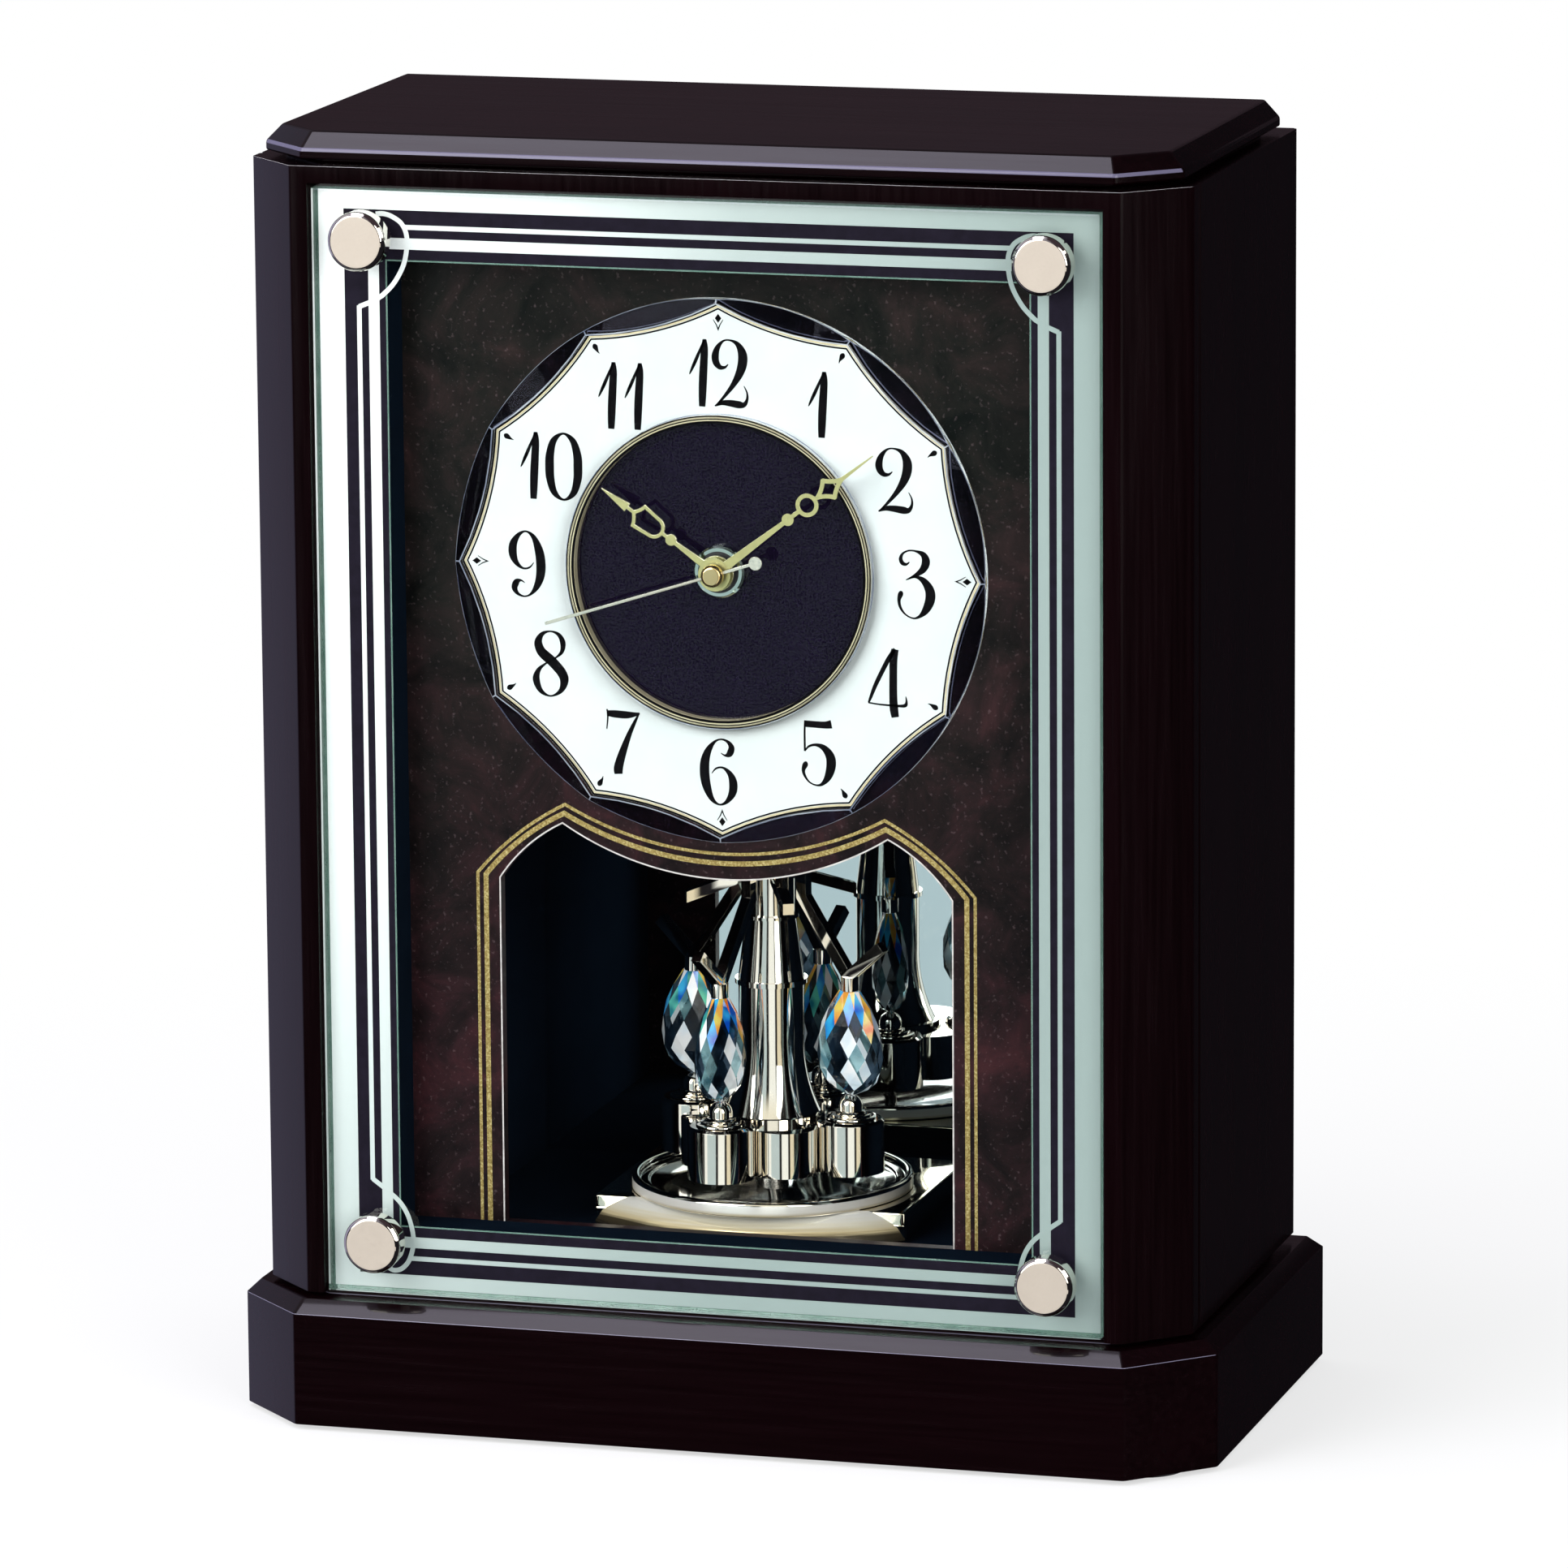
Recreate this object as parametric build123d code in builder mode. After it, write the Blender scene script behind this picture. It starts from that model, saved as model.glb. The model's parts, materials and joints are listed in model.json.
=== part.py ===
import os
from math import cos, degrees, pi, radians, sin, sqrt

from build123d import *

os.makedirs("parts", exist_ok=True)

# Desk clock with a revolving crystal pendulum. Millimetres, +Z up, the dial faces -Y.
# The origin lies on the table under the middle of the case.

# Case, outside
base_width = 190.0
base_depth = 100.0
base_height = 24.8
base_corner = 14.3
base_slope_run = 2.6
base_slope_rise = 2.5
body_width = 180.2
body_depth = 92.4
body_height = 214.3
body_corner = 10.9
body_setback = 4.3
lid_width = 176.0
lid_depth = 85.2
lid_height = 5.0
lid_corner = 10.3
lid_setback = 2.0
lid_slope_run = 3.0
lid_slope_rise = 3.2
corner_round = 1.4
shadow_gap = 0.9
lid_gap = 1.0
seat_inset = 3.0

# Case, boards
frame_depth = 15.6
side_board = 12.0
top_board_thickness = 8.0
bottom_board_thickness = 9.8
back_thickness = 6.0
joint_bevel = 0.8
base_deck = 5.0
base_pocket_depth = 56.0
cover_lap = 8.0
cover_thickness = 3.0
cover_gap = 0.4
cradle_width = 4.0
cradle_wall = 2.0
cradle_spacing = 30.0
foot_radius = 8.0
foot_thickness = 1.5
foot_recess = 0.7
foot_inset = 14.0
cover_foot_gap = 5.0

# Screws of the case
screw_radius = 1.5
screw_length = 12.0
screw_head_radius = 2.8
screw_head_height = 1.6
screw_sink = 1.8
screw_head_gap = 0.4
back_screw_spacing = 50.0
deck_screw_inset_x = 10.0
deck_screw_inset_y = 14.0

# Front glass and its four knobs
glass_width = 150.2
glass_height = 209.7
glass_thickness = 3.0
glass_rise = 0.6
glass_proud = 0.2
glass_gap = 0.8
glass_bevel = 0.4
knob_radius = 5.6
knob_height = 4.0
knob_bevel = 0.7
knob_inset_side = 9.9
knob_inset_top = 9.3
knob_inset_bottom = 10.2
knob_shank_radius = 1.5
knob_shank_length = 9.0
knob_hole_gap = 0.4

# Shadow box and dial board
opening_width = 123.4
opening_rise = 13.0
opening_drop = 17.3
spacer_wall = 1.5
spacer_depth = 9.2
board_thickness = 2.5
board_lap = 5.0
window_half_width = 43.8
window_shoulder = 79.3
window_peak_x = 31.5
window_arc_radius = 58.7
window_bulge = 1.1

# Dial
dial_drop = 74.6
star_radius = 50.2
star_points = 12
star_sag = 1.4
ring_thickness = 0.4
lens_radius = 51.1
lens_thickness = 2.4
lens_edge = 0.9
center_radius = 27.9
center_thickness = 0.6
center_ring_width = 1.5
nut_radius = 4.9
nut_height = 1.9
nut_slot = 1.1
nut_slots = 4

# Hands, drawn pointing at twelve and turned to the time shown
hour_angle = 304.5
minute_angle = 52.5
second_angle = 252.3
hand_thickness = 0.4
hand_gap = 0.8
hour_length = 26.8
hour_hub_radius = 3.4
hour_ball_at = 10.5
hour_loop_start = 12.3
hour_loop_corner = 18.3
hour_loop_end = 19.4
hour_horn = 2.6
hour_shoulder = 20.6
minute_length = 38.4
minute_hub_radius = 3.1
minute_ball_at = 17.9
minute_ring_at = 22.6
minute_diamond_start = 25.0
minute_diamond_corner = 27.8
minute_diamond_end = 31.0
hand_ball_radius = 1.15
hand_loop_radius = 2.2
hand_stroke = 0.8
hand_stem_hub = 1.9
hand_stem_tip = 0.8
spear_half_width = 1.0
diamond_half_width = 2.5
tip_half_width = 0.12
second_length = 34.2
second_width = 0.6
second_tail = 8.6
second_disc_radius = 1.3
boss_radius = 2.1
boss_height = 1.5

# Movement
movement_size = 56.0
movement_depth = 16.0
movement_wall = 1.2
bushing_radius = 3.9
bushing_bore = 2.75
hour_pipe_radius = 2.7
hour_pipe_bore = 1.85
cannon_radius = 1.8
cannon_bore = 0.6
arbor_radius = 0.55
fit_gap = 0.02
train_distance = 12.5
hour_teeth = 40
hour_pinion_teeth = 10
wheel_teeth = 36
cannon_teeth = 12
second_teeth = 30
second_pitch = 8.0
gear_thickness = 1.2
gear_gap = 0.8
foot_share = 0.56
crest_share = 0.3
addendum_share = 0.75
dedendum_share = 1.15
stem_radius = 1.4
stem_pivot_radius = 0.8
bearing_gap = 0.05
set_knob_radius = 6.5
set_knob_height = 5.0
set_knob_gap = 0.5
set_knob_socket = 3.0
set_knob_grips = 18
grip_radius = 0.45
battery_radius = 7.1
battery_length = 49.2
battery_tip_radius = 2.7
battery_tip_height = 1.3
battery_gap = 0.3
bay_wall = 1.0
contact_thickness = 0.5
contact_width = 9.0
spring_radius = 3.2
spring_tip_radius = 1.8
coil_radius = 3.4
coil_length = 16.0
coil_flange = 0.8
coil_flange_width = 1.2
coil_rise = 20.6
coil_inset = 2.6
post_radius = 1.6
circuit_width = 12.0
circuit_height = 26.0
circuit_thickness = 1.0
circuit_inset = 1.6

# Pendulum chamber
chamber_half_width = 58.0
chamber_wall = 3.0
chamber_height = 88.5
mirror_thickness = 3.0
mirror_gap = 0.2

# Stage under the pendulum
pendulum_setback = 42.4
stage_half_width = 30.5
stage_height = 5.8
stage_front = 16.0
stage_back = 28.0
stage_plate = 2.6
stage_front_gap = 0.9
stage_wall = 2.0
dish_radius = 26.8
dish_height = 2.7
dish_rim = 1.5
dish_floor = 1.2
dish_step_radius = 23.5
dish_step_height = 0.4
pivot_radius = 1.2
pivot_foot_radius = 3.0
pivot_foot_height = 1.0
pivot_engagement = 6.0
pivot_end_gap = 0.1
drive_coil_radius = 6.5
drive_coil_bore = 2.5
drive_coil_height = 2.4

# Pendulum
crystal_count = 4
crystal_start_angle = 73.0
crystal_circle = 17.7
pod_radius = 6.4
pod_height = 10.2
pod_lift = 2.4
pod_round = 0.5
lobe_circle = 11.3
lobe_radius = 6.3
lobe_height = 8.8
magnet_radius = 4.0
magnet_height = 3.0
rotor_bore_gap = 0.06
collar_radius = 3.9
collar_height = 0.7
collar_step_radius = 3.0
collar_step_height = 0.8
ball_radius = 1.95
column_foot_radius = 10.4
column_foot_height = 1.0
column_base_radius = 9.3
column_mid_radius = 7.2
column_mid_rise = 6.6
column_waist_radius = 6.25
column_waist_rise = 15.5
column_height = 25.7
sleeve_ring_radius = 6.9
sleeve_ring_height = 1.0
sleeve_bottom_radius = 6.3
sleeve_top_radius = 4.8
sleeve_height = 11.8
sleeve_top_ring_radius = 5.4
sleeve_top_ring_height = 0.6
crown_radius = 4.6
crown_height = 9.0
crown_disc_radius = 8.9
crown_disc_height = 2.4
crown_knob_radius = 3.0
crown_knob_height = 2.6
arm_width = 2.1
arm_shoulder = 7.5
arm_bend_rise = 14.4
stub_reach = 7.4
stub_rise = 6.5
short_arm_tip = 16.4
short_arm_rise = 5.0
short_arm_slope = 5.2
cap_radius = 1.7
cap_height = 2.7
crystal_height = 20.0
crystal_width = 14.2
crystal_thickness = 7.4
crystal_gap = 0.2
crystal_sides = 12
crystal_level_shares = (0.0, 0.06, 0.17, 0.36, 0.59, 0.82, 1.0)
crystal_width_shares = (0.18, 0.58, 0.86, 1.0, 0.94, 0.7, 0.32)

# Rear door
door_width = 96.0
door_rise = 106.3
door_drop = 14.0
door_gap = 0.8
door_bevel = 0.6
hinge_length = 16.0
hinge_inset = 10.0
hinge_leaf = 9.0
hinge_leaf_thickness = 0.8
hinge_knuckle_radius = 1.5
hinge_knuckle_lift = 0.2
hinge_pin_radius = 0.7
hinge_pin_gap = 0.05
hinge_knuckle_gap = 0.15
door_knob_radius = 4.5
door_knob_height = 2.2
door_knob_neck = 2.4
door_knob_neck_height = 0.8
door_knob_inset = 8.0
catch_width = 10.0
catch_height = 8.0
catch_depth = 5.0
catch_lap = 3.0
catch_gap = 0.2

# Planes that the pieces share
front_y = body_setback - base_depth / 2
body_back_y = front_y + body_depth
base_bottom_z = foot_thickness - foot_recess
body_z = base_height + shadow_gap
body_top_z = body_z + body_height
lid_z = body_top_z + lid_gap
glass_front_y = front_y - glass_proud
glass_back_y = glass_front_y + glass_thickness
glass_z = body_z + glass_rise
board_y = glass_back_y + spacer_depth
board_back_y = board_y + board_thickness
frame_back_y = front_y + frame_depth
back_y = body_back_y - back_thickness
floor_z = body_z + bottom_board_thickness
opening_z = body_z + opening_rise
opening_top_z = body_top_z - opening_drop
opening_middle_z = (opening_z + opening_top_z) / 2
opening_height = opening_top_z - opening_z
side_inner = body_width / 2 - side_board
dial_z = body_top_z - dial_drop
door_height = body_height - door_rise - door_drop
ring_front_y = board_y - ring_thickness
lens_front_y = ring_front_y - lens_thickness
center_front_y = board_y - center_thickness
pendulum_y = front_y + pendulum_setback

# Places of the fasteners: across and up on a front plane, across and deep on a level one
knob_x = glass_width / 2 - knob_inset_side
knob_low_z = glass_z + knob_inset_bottom
knob_high_z = glass_z + glass_height - knob_inset_top
knob_places = [(x, z) for x in (-knob_x, knob_x) for z in (knob_low_z, knob_high_z)]
low_screw_z = body_z + bottom_board_thickness / 2
high_screw_z = body_top_z - top_board_thickness / 2
back_screw_x = (-back_screw_spacing, 0, back_screw_spacing)
low_screw_places = [(x, low_screw_z) for x in back_screw_x]
high_screw_places = [(x, high_screw_z) for x in back_screw_x]
cover_edge_x = base_width / 2 - foot_inset - foot_radius - cover_foot_gap
base_pocket_width = 2 * (cover_edge_x - cover_lap)
deck_screw_spacing_x = base_pocket_width - 2 * deck_screw_inset_x
deck_screw_spacing_y = base_pocket_depth - 2 * deck_screw_inset_y
cover_top_z = base_bottom_z + cover_thickness
cover_screw_z = base_bottom_z + screw_sink
deck_z = base_height - base_deck


def facing(y):
    """Plane that looks out at the front of the clock, with its local Y up."""
    return Plane.XZ.offset(-y)


def dial_facing(y, clock_angle=0):
    """Front plane on the hand axis, its local Y turned clockwise from twelve."""
    turn = radians(clock_angle)
    return Plane(origin=(0, y, dial_z), x_dir=(cos(turn), 0, -sin(turn)), z_dir=(0, -1, 0))


def stem_facing(y):
    """Front plane on the axis of the hand-setting stem."""
    return Plane(origin=(0, y, dial_z + train_distance), x_dir=(1, 0, 0), z_dir=(0, -1, 0))


def rotor_level(z):
    """Level plane on the pendulum's axis."""
    return Plane(origin=(0, pendulum_y, z))


def rotor_section(angle, shift=0):
    """Upright plane through the pendulum's axis, its local X pointing outward."""
    turn = radians(angle)
    normal = Vector(sin(turn), -cos(turn), 0)
    origin = Vector(0, pendulum_y, 0) + normal * shift
    return Plane(origin=origin, x_dir=(cos(turn), sin(turn), 0), z_dir=normal)


def plan_outline(width, front, back, corner):
    """Plan of a case layer: a rectangle with its two front corners cut off and eased."""
    half = width / 2
    with BuildSketch(Plane.XY) as outline:
        with BuildLine():
            Polyline(
                (-half, back),
                (-half, front + corner),
                (-half + corner, front),
                (half - corner, front),
                (half, front + corner),
                (half, back),
                close=True,
            )
        make_face()
        fillet(outline.vertices().sort_by(Axis.Y)[:4], corner_round)
    return outline.sketch


def opening_outline(margin):
    """The front opening's rectangle, grown by a margin on every side."""
    with BuildSketch(Plane.XY) as outline:
        with Locations((0, opening_middle_z)):
            Rectangle(opening_width + 2 * margin, opening_height + 2 * margin)
    return outline.sketch


def star_outline(radius):
    """Ring outline with tips at the hours and hollow sides between them."""
    step = 2 * pi / star_points
    tips = [(radius * sin(k * step), radius * cos(k * step)) for k in range(star_points)]
    low = radius * cos(step / 2) - star_sag
    lows = [(low * sin((k + 0.5) * step), low * cos((k + 0.5) * step)) for k in range(star_points)]
    with BuildSketch(Plane.XY) as outline:
        with BuildLine():
            for k in range(star_points):
                ThreePointArc(tips[k], lows[k], tips[(k + 1) % star_points])
        make_face()
    return outline.sketch


def spur_outline(teeth, pitch_radius, start_angle):
    """Toothed outline of a wheel or pinion on its pitch circle."""
    module = 2 * pitch_radius / teeth
    root = pitch_radius - dedendum_share * module
    tip = pitch_radius + addendum_share * module
    foot = foot_share * pi * module
    crest = crest_share * pi * module
    inside = root * cos(pi / teeth)
    with BuildSketch(Plane.XY) as outline:
        Circle(root)
        with PolarLocations(0, teeth, start_angle=start_angle):
            Polygon((inside, -foot / 2), (tip, -crest / 2), (tip, crest / 2), (inside, foot / 2), align=None)
    return outline.sketch


# An inset of one shortens each leg of a cut corner by this share of it
miter_share = 2 - sqrt(2)

# Plinth with its sloped edge, a raised seat for the body and a pocket underneath
base_slope_z = base_height - base_slope_rise
with BuildPart() as plinth:
    with BuildSketch(Plane.XY.offset(base_bottom_z)):
        add(plan_outline(base_width, -base_depth / 2, base_depth / 2, base_corner))
    extrude(amount=base_slope_z - base_bottom_z)
    with BuildSketch(Plane.XY.offset(base_slope_z)):
        add(plan_outline(base_width, -base_depth / 2, base_depth / 2, base_corner))
    with BuildSketch(Plane.XY.offset(base_height)):
        add(plan_outline(
            base_width - 2 * base_slope_run,
            base_slope_run - base_depth / 2,
            base_depth / 2 - base_slope_run,
            base_corner - base_slope_run * miter_share,
        ))
    loft(ruled=True)
    with BuildSketch(Plane.XY.offset(base_height)):
        add(plan_outline(
            body_width - 2 * seat_inset, front_y + seat_inset, body_back_y - seat_inset, body_corner
        ))
    extrude(amount=shadow_gap)
    with BuildSketch(Plane.XY.offset(base_bottom_z)):
        Rectangle(base_pocket_width, base_pocket_depth)
    extrude(amount=deck_z - base_bottom_z, mode=Mode.SUBTRACT)
    with BuildSketch(Plane.XY.offset(base_bottom_z)):
        Rectangle(base_pocket_width + 2 * cover_lap, base_pocket_depth + 2 * cover_lap)
    extrude(amount=cover_thickness, mode=Mode.SUBTRACT)
    with BuildSketch(Plane.XY.offset(base_bottom_z)):
        with GridLocations(base_width - 2 * foot_inset, base_depth - 2 * foot_inset, 2, 2):
            Circle(foot_radius)
    extrude(amount=foot_recess, mode=Mode.SUBTRACT)
    with BuildSketch(Plane.XY.offset(cover_top_z)):
        with GridLocations(base_pocket_width + cover_lap, base_pocket_depth + cover_lap, 2, 2):
            Circle(screw_radius + fit_gap)
    extrude(amount=cover_screw_z + screw_length - cover_top_z, mode=Mode.SUBTRACT)
    with BuildSketch(Plane.XY.offset(deck_z)):
        with GridLocations(deck_screw_spacing_x, deck_screw_spacing_y, 2, 2):
            Circle(screw_radius + fit_gap)
    extrude(amount=base_deck + shadow_gap, mode=Mode.SUBTRACT)
plinth.part.label = "base_plinth"
export_step(plinth.part, "parts/base_plinth.step")

# Cover plate that closes the pocket from below and cradles the battery of the drive
cradle_z = cover_top_z + battery_gap + battery_radius
with BuildPart() as cover:
    with BuildSketch(Plane.XY.offset(base_bottom_z)):
        Rectangle(
            base_pocket_width + 2 * cover_lap - 2 * cover_gap,
            base_pocket_depth + 2 * cover_lap - 2 * cover_gap,
        )
    extrude(amount=cover_thickness)
    with BuildSketch(Plane.XY.offset(cover_top_z)):
        with GridLocations(cradle_spacing, 0, 2, 1):
            Rectangle(cradle_width, 2 * (battery_radius + battery_gap + cradle_wall))
    extrude(amount=cradle_z - cover_top_z)
    with BuildSketch(Plane.YZ.offset(-(cradle_spacing + cradle_width) / 2)):
        with Locations((0, cradle_z)):
            Circle(battery_radius + battery_gap)
    extrude(amount=cradle_spacing + cradle_width, mode=Mode.SUBTRACT)
    with BuildSketch(Plane.XY.offset(base_bottom_z)):
        with GridLocations(base_pocket_width + cover_lap, base_pocket_depth + cover_lap, 2, 2):
            Circle(screw_radius + fit_gap)
    extrude(amount=cover_thickness, mode=Mode.SUBTRACT)
    with BuildSketch(Plane.XY.offset(base_bottom_z)):
        with GridLocations(base_pocket_width + cover_lap, base_pocket_depth + cover_lap, 2, 2):
            Circle(screw_head_radius + screw_head_gap)
    extrude(amount=screw_sink, mode=Mode.SUBTRACT)
cover.part.label = "base_cover"
export_step(cover.part, "parts/base_cover.step")

# Battery of the pendulum's drive, lying in its cradle
with BuildPart() as drive_battery:
    with BuildSketch(Plane.YZ.offset(-battery_length / 2)):
        with Locations((0, cradle_z)):
            Circle(battery_radius)
    extrude(amount=battery_length)
    chamfer(drive_battery.edges(), battery_gap)
    with BuildSketch(Plane.YZ.offset(battery_length / 2)):
        with Locations((0, cradle_z)):
            Circle(battery_tip_radius)
    extrude(amount=battery_tip_height)
drive_battery.part.label = "drive_battery"
export_step(drive_battery.part, "parts/drive_battery.step")

# Four felt feet let into the underside
with BuildPart() as feet:
    with BuildSketch(Plane.XY):
        with GridLocations(base_width - 2 * foot_inset, base_depth - 2 * foot_inset, 2, 2):
            Circle(foot_radius)
    extrude(amount=foot_thickness)
feet.part.label = "felt_feet"
export_step(feet.part, "parts/felt_feet.step")

# Front frame: chamfered stiles and rails, the glass in a rebate, the dial board behind
with BuildPart() as frame:
    with BuildSketch(Plane.XY.offset(body_z)):
        add(plan_outline(body_width, front_y, frame_back_y, body_corner))
    extrude(amount=body_height)
    with BuildSketch(facing(front_y)):
        with Locations((0, glass_z + (glass_height + glass_gap - glass_rise) / 2)):
            Rectangle(glass_width + 2 * glass_gap, glass_height + glass_gap + glass_rise)
    extrude(amount=-(glass_back_y - front_y), mode=Mode.SUBTRACT)
    with BuildSketch(facing(glass_back_y)):
        add(opening_outline(spacer_wall + fit_gap))
    extrude(amount=-(frame_back_y - glass_back_y), mode=Mode.SUBTRACT)
    with BuildSketch(facing(board_y)):
        add(opening_outline(spacer_wall + board_lap + fit_gap))
    extrude(amount=-(frame_back_y - board_y), mode=Mode.SUBTRACT)
    with BuildSketch(facing(glass_back_y)):
        with Locations(*knob_places):
            Circle(knob_shank_radius + fit_gap)
    extrude(amount=-(knob_shank_length - glass_thickness), mode=Mode.SUBTRACT)
    rear_edges = frame.edges().filter_by(Axis.Z).group_by(Axis.Y)[-1].sort_by(Axis.X)
    chamfer([rear_edges[0], rear_edges[-1]], joint_bevel)
frame.part.label = "front_frame"
export_step(frame.part, "parts/front_frame.step")

# Side panels, with the bevel that makes the groove behind the front frame
for side_name, side in (("left", -1), ("right", 1)):
    with BuildPart() as panel:
        with BuildSketch(Plane.XY.offset(body_z)) as panel_plan:
            with Locations((side * (side_inner + side_board / 2), (frame_back_y + body_back_y) / 2)):
                Rectangle(side_board, body_back_y - frame_back_y)
            outer = panel_plan.vertices().sort_by(Axis((0, 0, 0), (side, 0, 0)))[-2:]
            chamfer(outer, joint_bevel)
        extrude(amount=body_height)
    panel.part.label = f"side_panel_{side_name}"
    export_step(panel.part, f"parts/side_panel_{side_name}.step")

# Boards that close the body at the top and at the bottom, the lower screwed to the plinth
with BuildPart() as top_board:
    with BuildSketch(Plane.XY.offset(body_top_z - top_board_thickness)):
        with Locations((0, (frame_back_y + back_y) / 2)):
            Rectangle(2 * side_inner, back_y - frame_back_y)
    extrude(amount=top_board_thickness)
    with BuildSketch(facing(back_y)):
        with Locations(*high_screw_places):
            Circle(screw_radius + fit_gap)
    extrude(amount=screw_length - back_thickness, mode=Mode.SUBTRACT)
top_board.part.label = "top_board"
export_step(top_board.part, "parts/top_board.step")

with BuildPart() as bottom_board:
    with BuildSketch(Plane.XY.offset(body_z)):
        with Locations((0, (frame_back_y + back_y) / 2)):
            Rectangle(2 * side_inner, back_y - frame_back_y)
    extrude(amount=bottom_board_thickness)
    with BuildSketch(facing(back_y)):
        with Locations(*low_screw_places):
            Circle(screw_radius + fit_gap)
    extrude(amount=screw_length - back_thickness, mode=Mode.SUBTRACT)
    with BuildSketch(Plane.XY.offset(body_z)):
        with GridLocations(deck_screw_spacing_x, deck_screw_spacing_y, 2, 2):
            Circle(screw_radius + fit_gap)
    extrude(amount=deck_z + screw_length - body_z, mode=Mode.SUBTRACT)
bottom_board.part.label = "bottom_board"
export_step(bottom_board.part, "parts/bottom_board.step")

# Lid with a slope round its front and sides, square at the back
lid_front_y = front_y + lid_setback
lid_back_y = lid_front_y + lid_depth
with BuildPart() as lid:
    with BuildSketch(Plane.XY.offset(lid_z)):
        add(plan_outline(lid_width, lid_front_y, lid_back_y, lid_corner))
    extrude(amount=lid_height - lid_slope_rise)
    with BuildSketch(Plane.XY.offset(lid_z + lid_height - lid_slope_rise)):
        add(plan_outline(lid_width, lid_front_y, lid_back_y, lid_corner))
    with BuildSketch(Plane.XY.offset(lid_z + lid_height)):
        add(plan_outline(
            lid_width - 2 * lid_slope_run,
            lid_front_y + lid_slope_run,
            lid_back_y,
            lid_corner - lid_slope_run * miter_share,
        ))
    loft(ruled=True)
    with BuildSketch(Plane.XY.offset(body_top_z)):
        add(plan_outline(
            lid_width - 2 * seat_inset, lid_front_y + seat_inset, lid_back_y - seat_inset, lid_corner
        ))
    extrude(amount=lid_gap)
lid.part.label = "lid"
export_step(lid.part, "parts/lid.step")

# Back panel set between the sides, with the doorway behind the movement
door_z = body_z + door_rise
with BuildPart() as back_panel:
    with BuildSketch(facing(body_back_y)):
        with Locations((0, body_z + body_height / 2)):
            Rectangle(2 * side_inner, body_height)
        with Locations((0, door_z + door_height / 2)):
            Rectangle(door_width, door_height, mode=Mode.SUBTRACT)
        with Locations(*low_screw_places, *high_screw_places):
            Circle(screw_radius + fit_gap, mode=Mode.SUBTRACT)
    extrude(amount=back_thickness)
back_panel.part.label = "back_panel"
export_step(back_panel.part, "parts/back_panel.step")

# Screws: base cover, plinth to body, back panel to the top and bottom boards
with BuildPart() as screws:
    for level, wide, deep in (
        (cover_screw_z, base_pocket_width + cover_lap, base_pocket_depth + cover_lap),
        (deck_z, deck_screw_spacing_x, deck_screw_spacing_y),
    ):
        with BuildSketch(Plane.XY.offset(level)):
            with GridLocations(wide, deep, 2, 2):
                Circle(screw_radius)
        extrude(amount=screw_length)
        with BuildSketch(Plane.XY.offset(level)):
            with GridLocations(wide, deep, 2, 2):
                Circle(screw_head_radius)
        extrude(amount=-screw_head_height)
    with BuildSketch(facing(body_back_y)):
        with Locations(*low_screw_places, *high_screw_places):
            Circle(screw_radius)
    extrude(amount=screw_length)
    with BuildSketch(facing(body_back_y)):
        with Locations(*low_screw_places, *high_screw_places):
            Circle(screw_head_radius)
    extrude(amount=-screw_head_height)
screws.part.label = "case_screws"
export_step(screws.part, "parts/case_screws.step")

# Front glass with ground edges and four knob holes
with BuildPart() as glass:
    with BuildSketch(facing(glass_back_y)):
        with Locations((0, glass_z + glass_height / 2)):
            Rectangle(glass_width, glass_height)
    extrude(amount=glass_thickness)
    chamfer(glass.faces().sort_by(Axis.Y)[0].edges(), glass_bevel)
    with BuildSketch(facing(glass_back_y)):
        with Locations(*knob_places):
            Circle(knob_shank_radius + knob_hole_gap)
    extrude(amount=glass_thickness, mode=Mode.SUBTRACT)
glass.part.label = "glass_panel"
export_step(glass.part, "parts/glass_panel.step")

# Four knobs whose shanks hold the glass to the frame
with BuildPart() as knobs:
    with BuildSketch(facing(glass_front_y)):
        with Locations(*knob_places):
            Circle(knob_radius)
    extrude(amount=knob_height)
    chamfer(knobs.faces().group_by(Axis.Y)[0].edges(), knob_bevel)
    with BuildSketch(facing(glass_front_y)):
        with Locations(*knob_places):
            Circle(knob_shank_radius)
    extrude(amount=-knob_shank_length)
knobs.part.label = "glass_knobs"
export_step(knobs.part, "parts/glass_knobs.step")

# Dark spacer frame between the glass and the dial board
with BuildPart() as shadow_box:
    with BuildSketch(facing(board_y)):
        add(opening_outline(spacer_wall))
        add(opening_outline(0), mode=Mode.SUBTRACT)
    extrude(amount=spacer_depth)
shadow_box.part.label = "shadow_box"
export_step(shadow_box.part, "parts/shadow_box.step")

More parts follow.
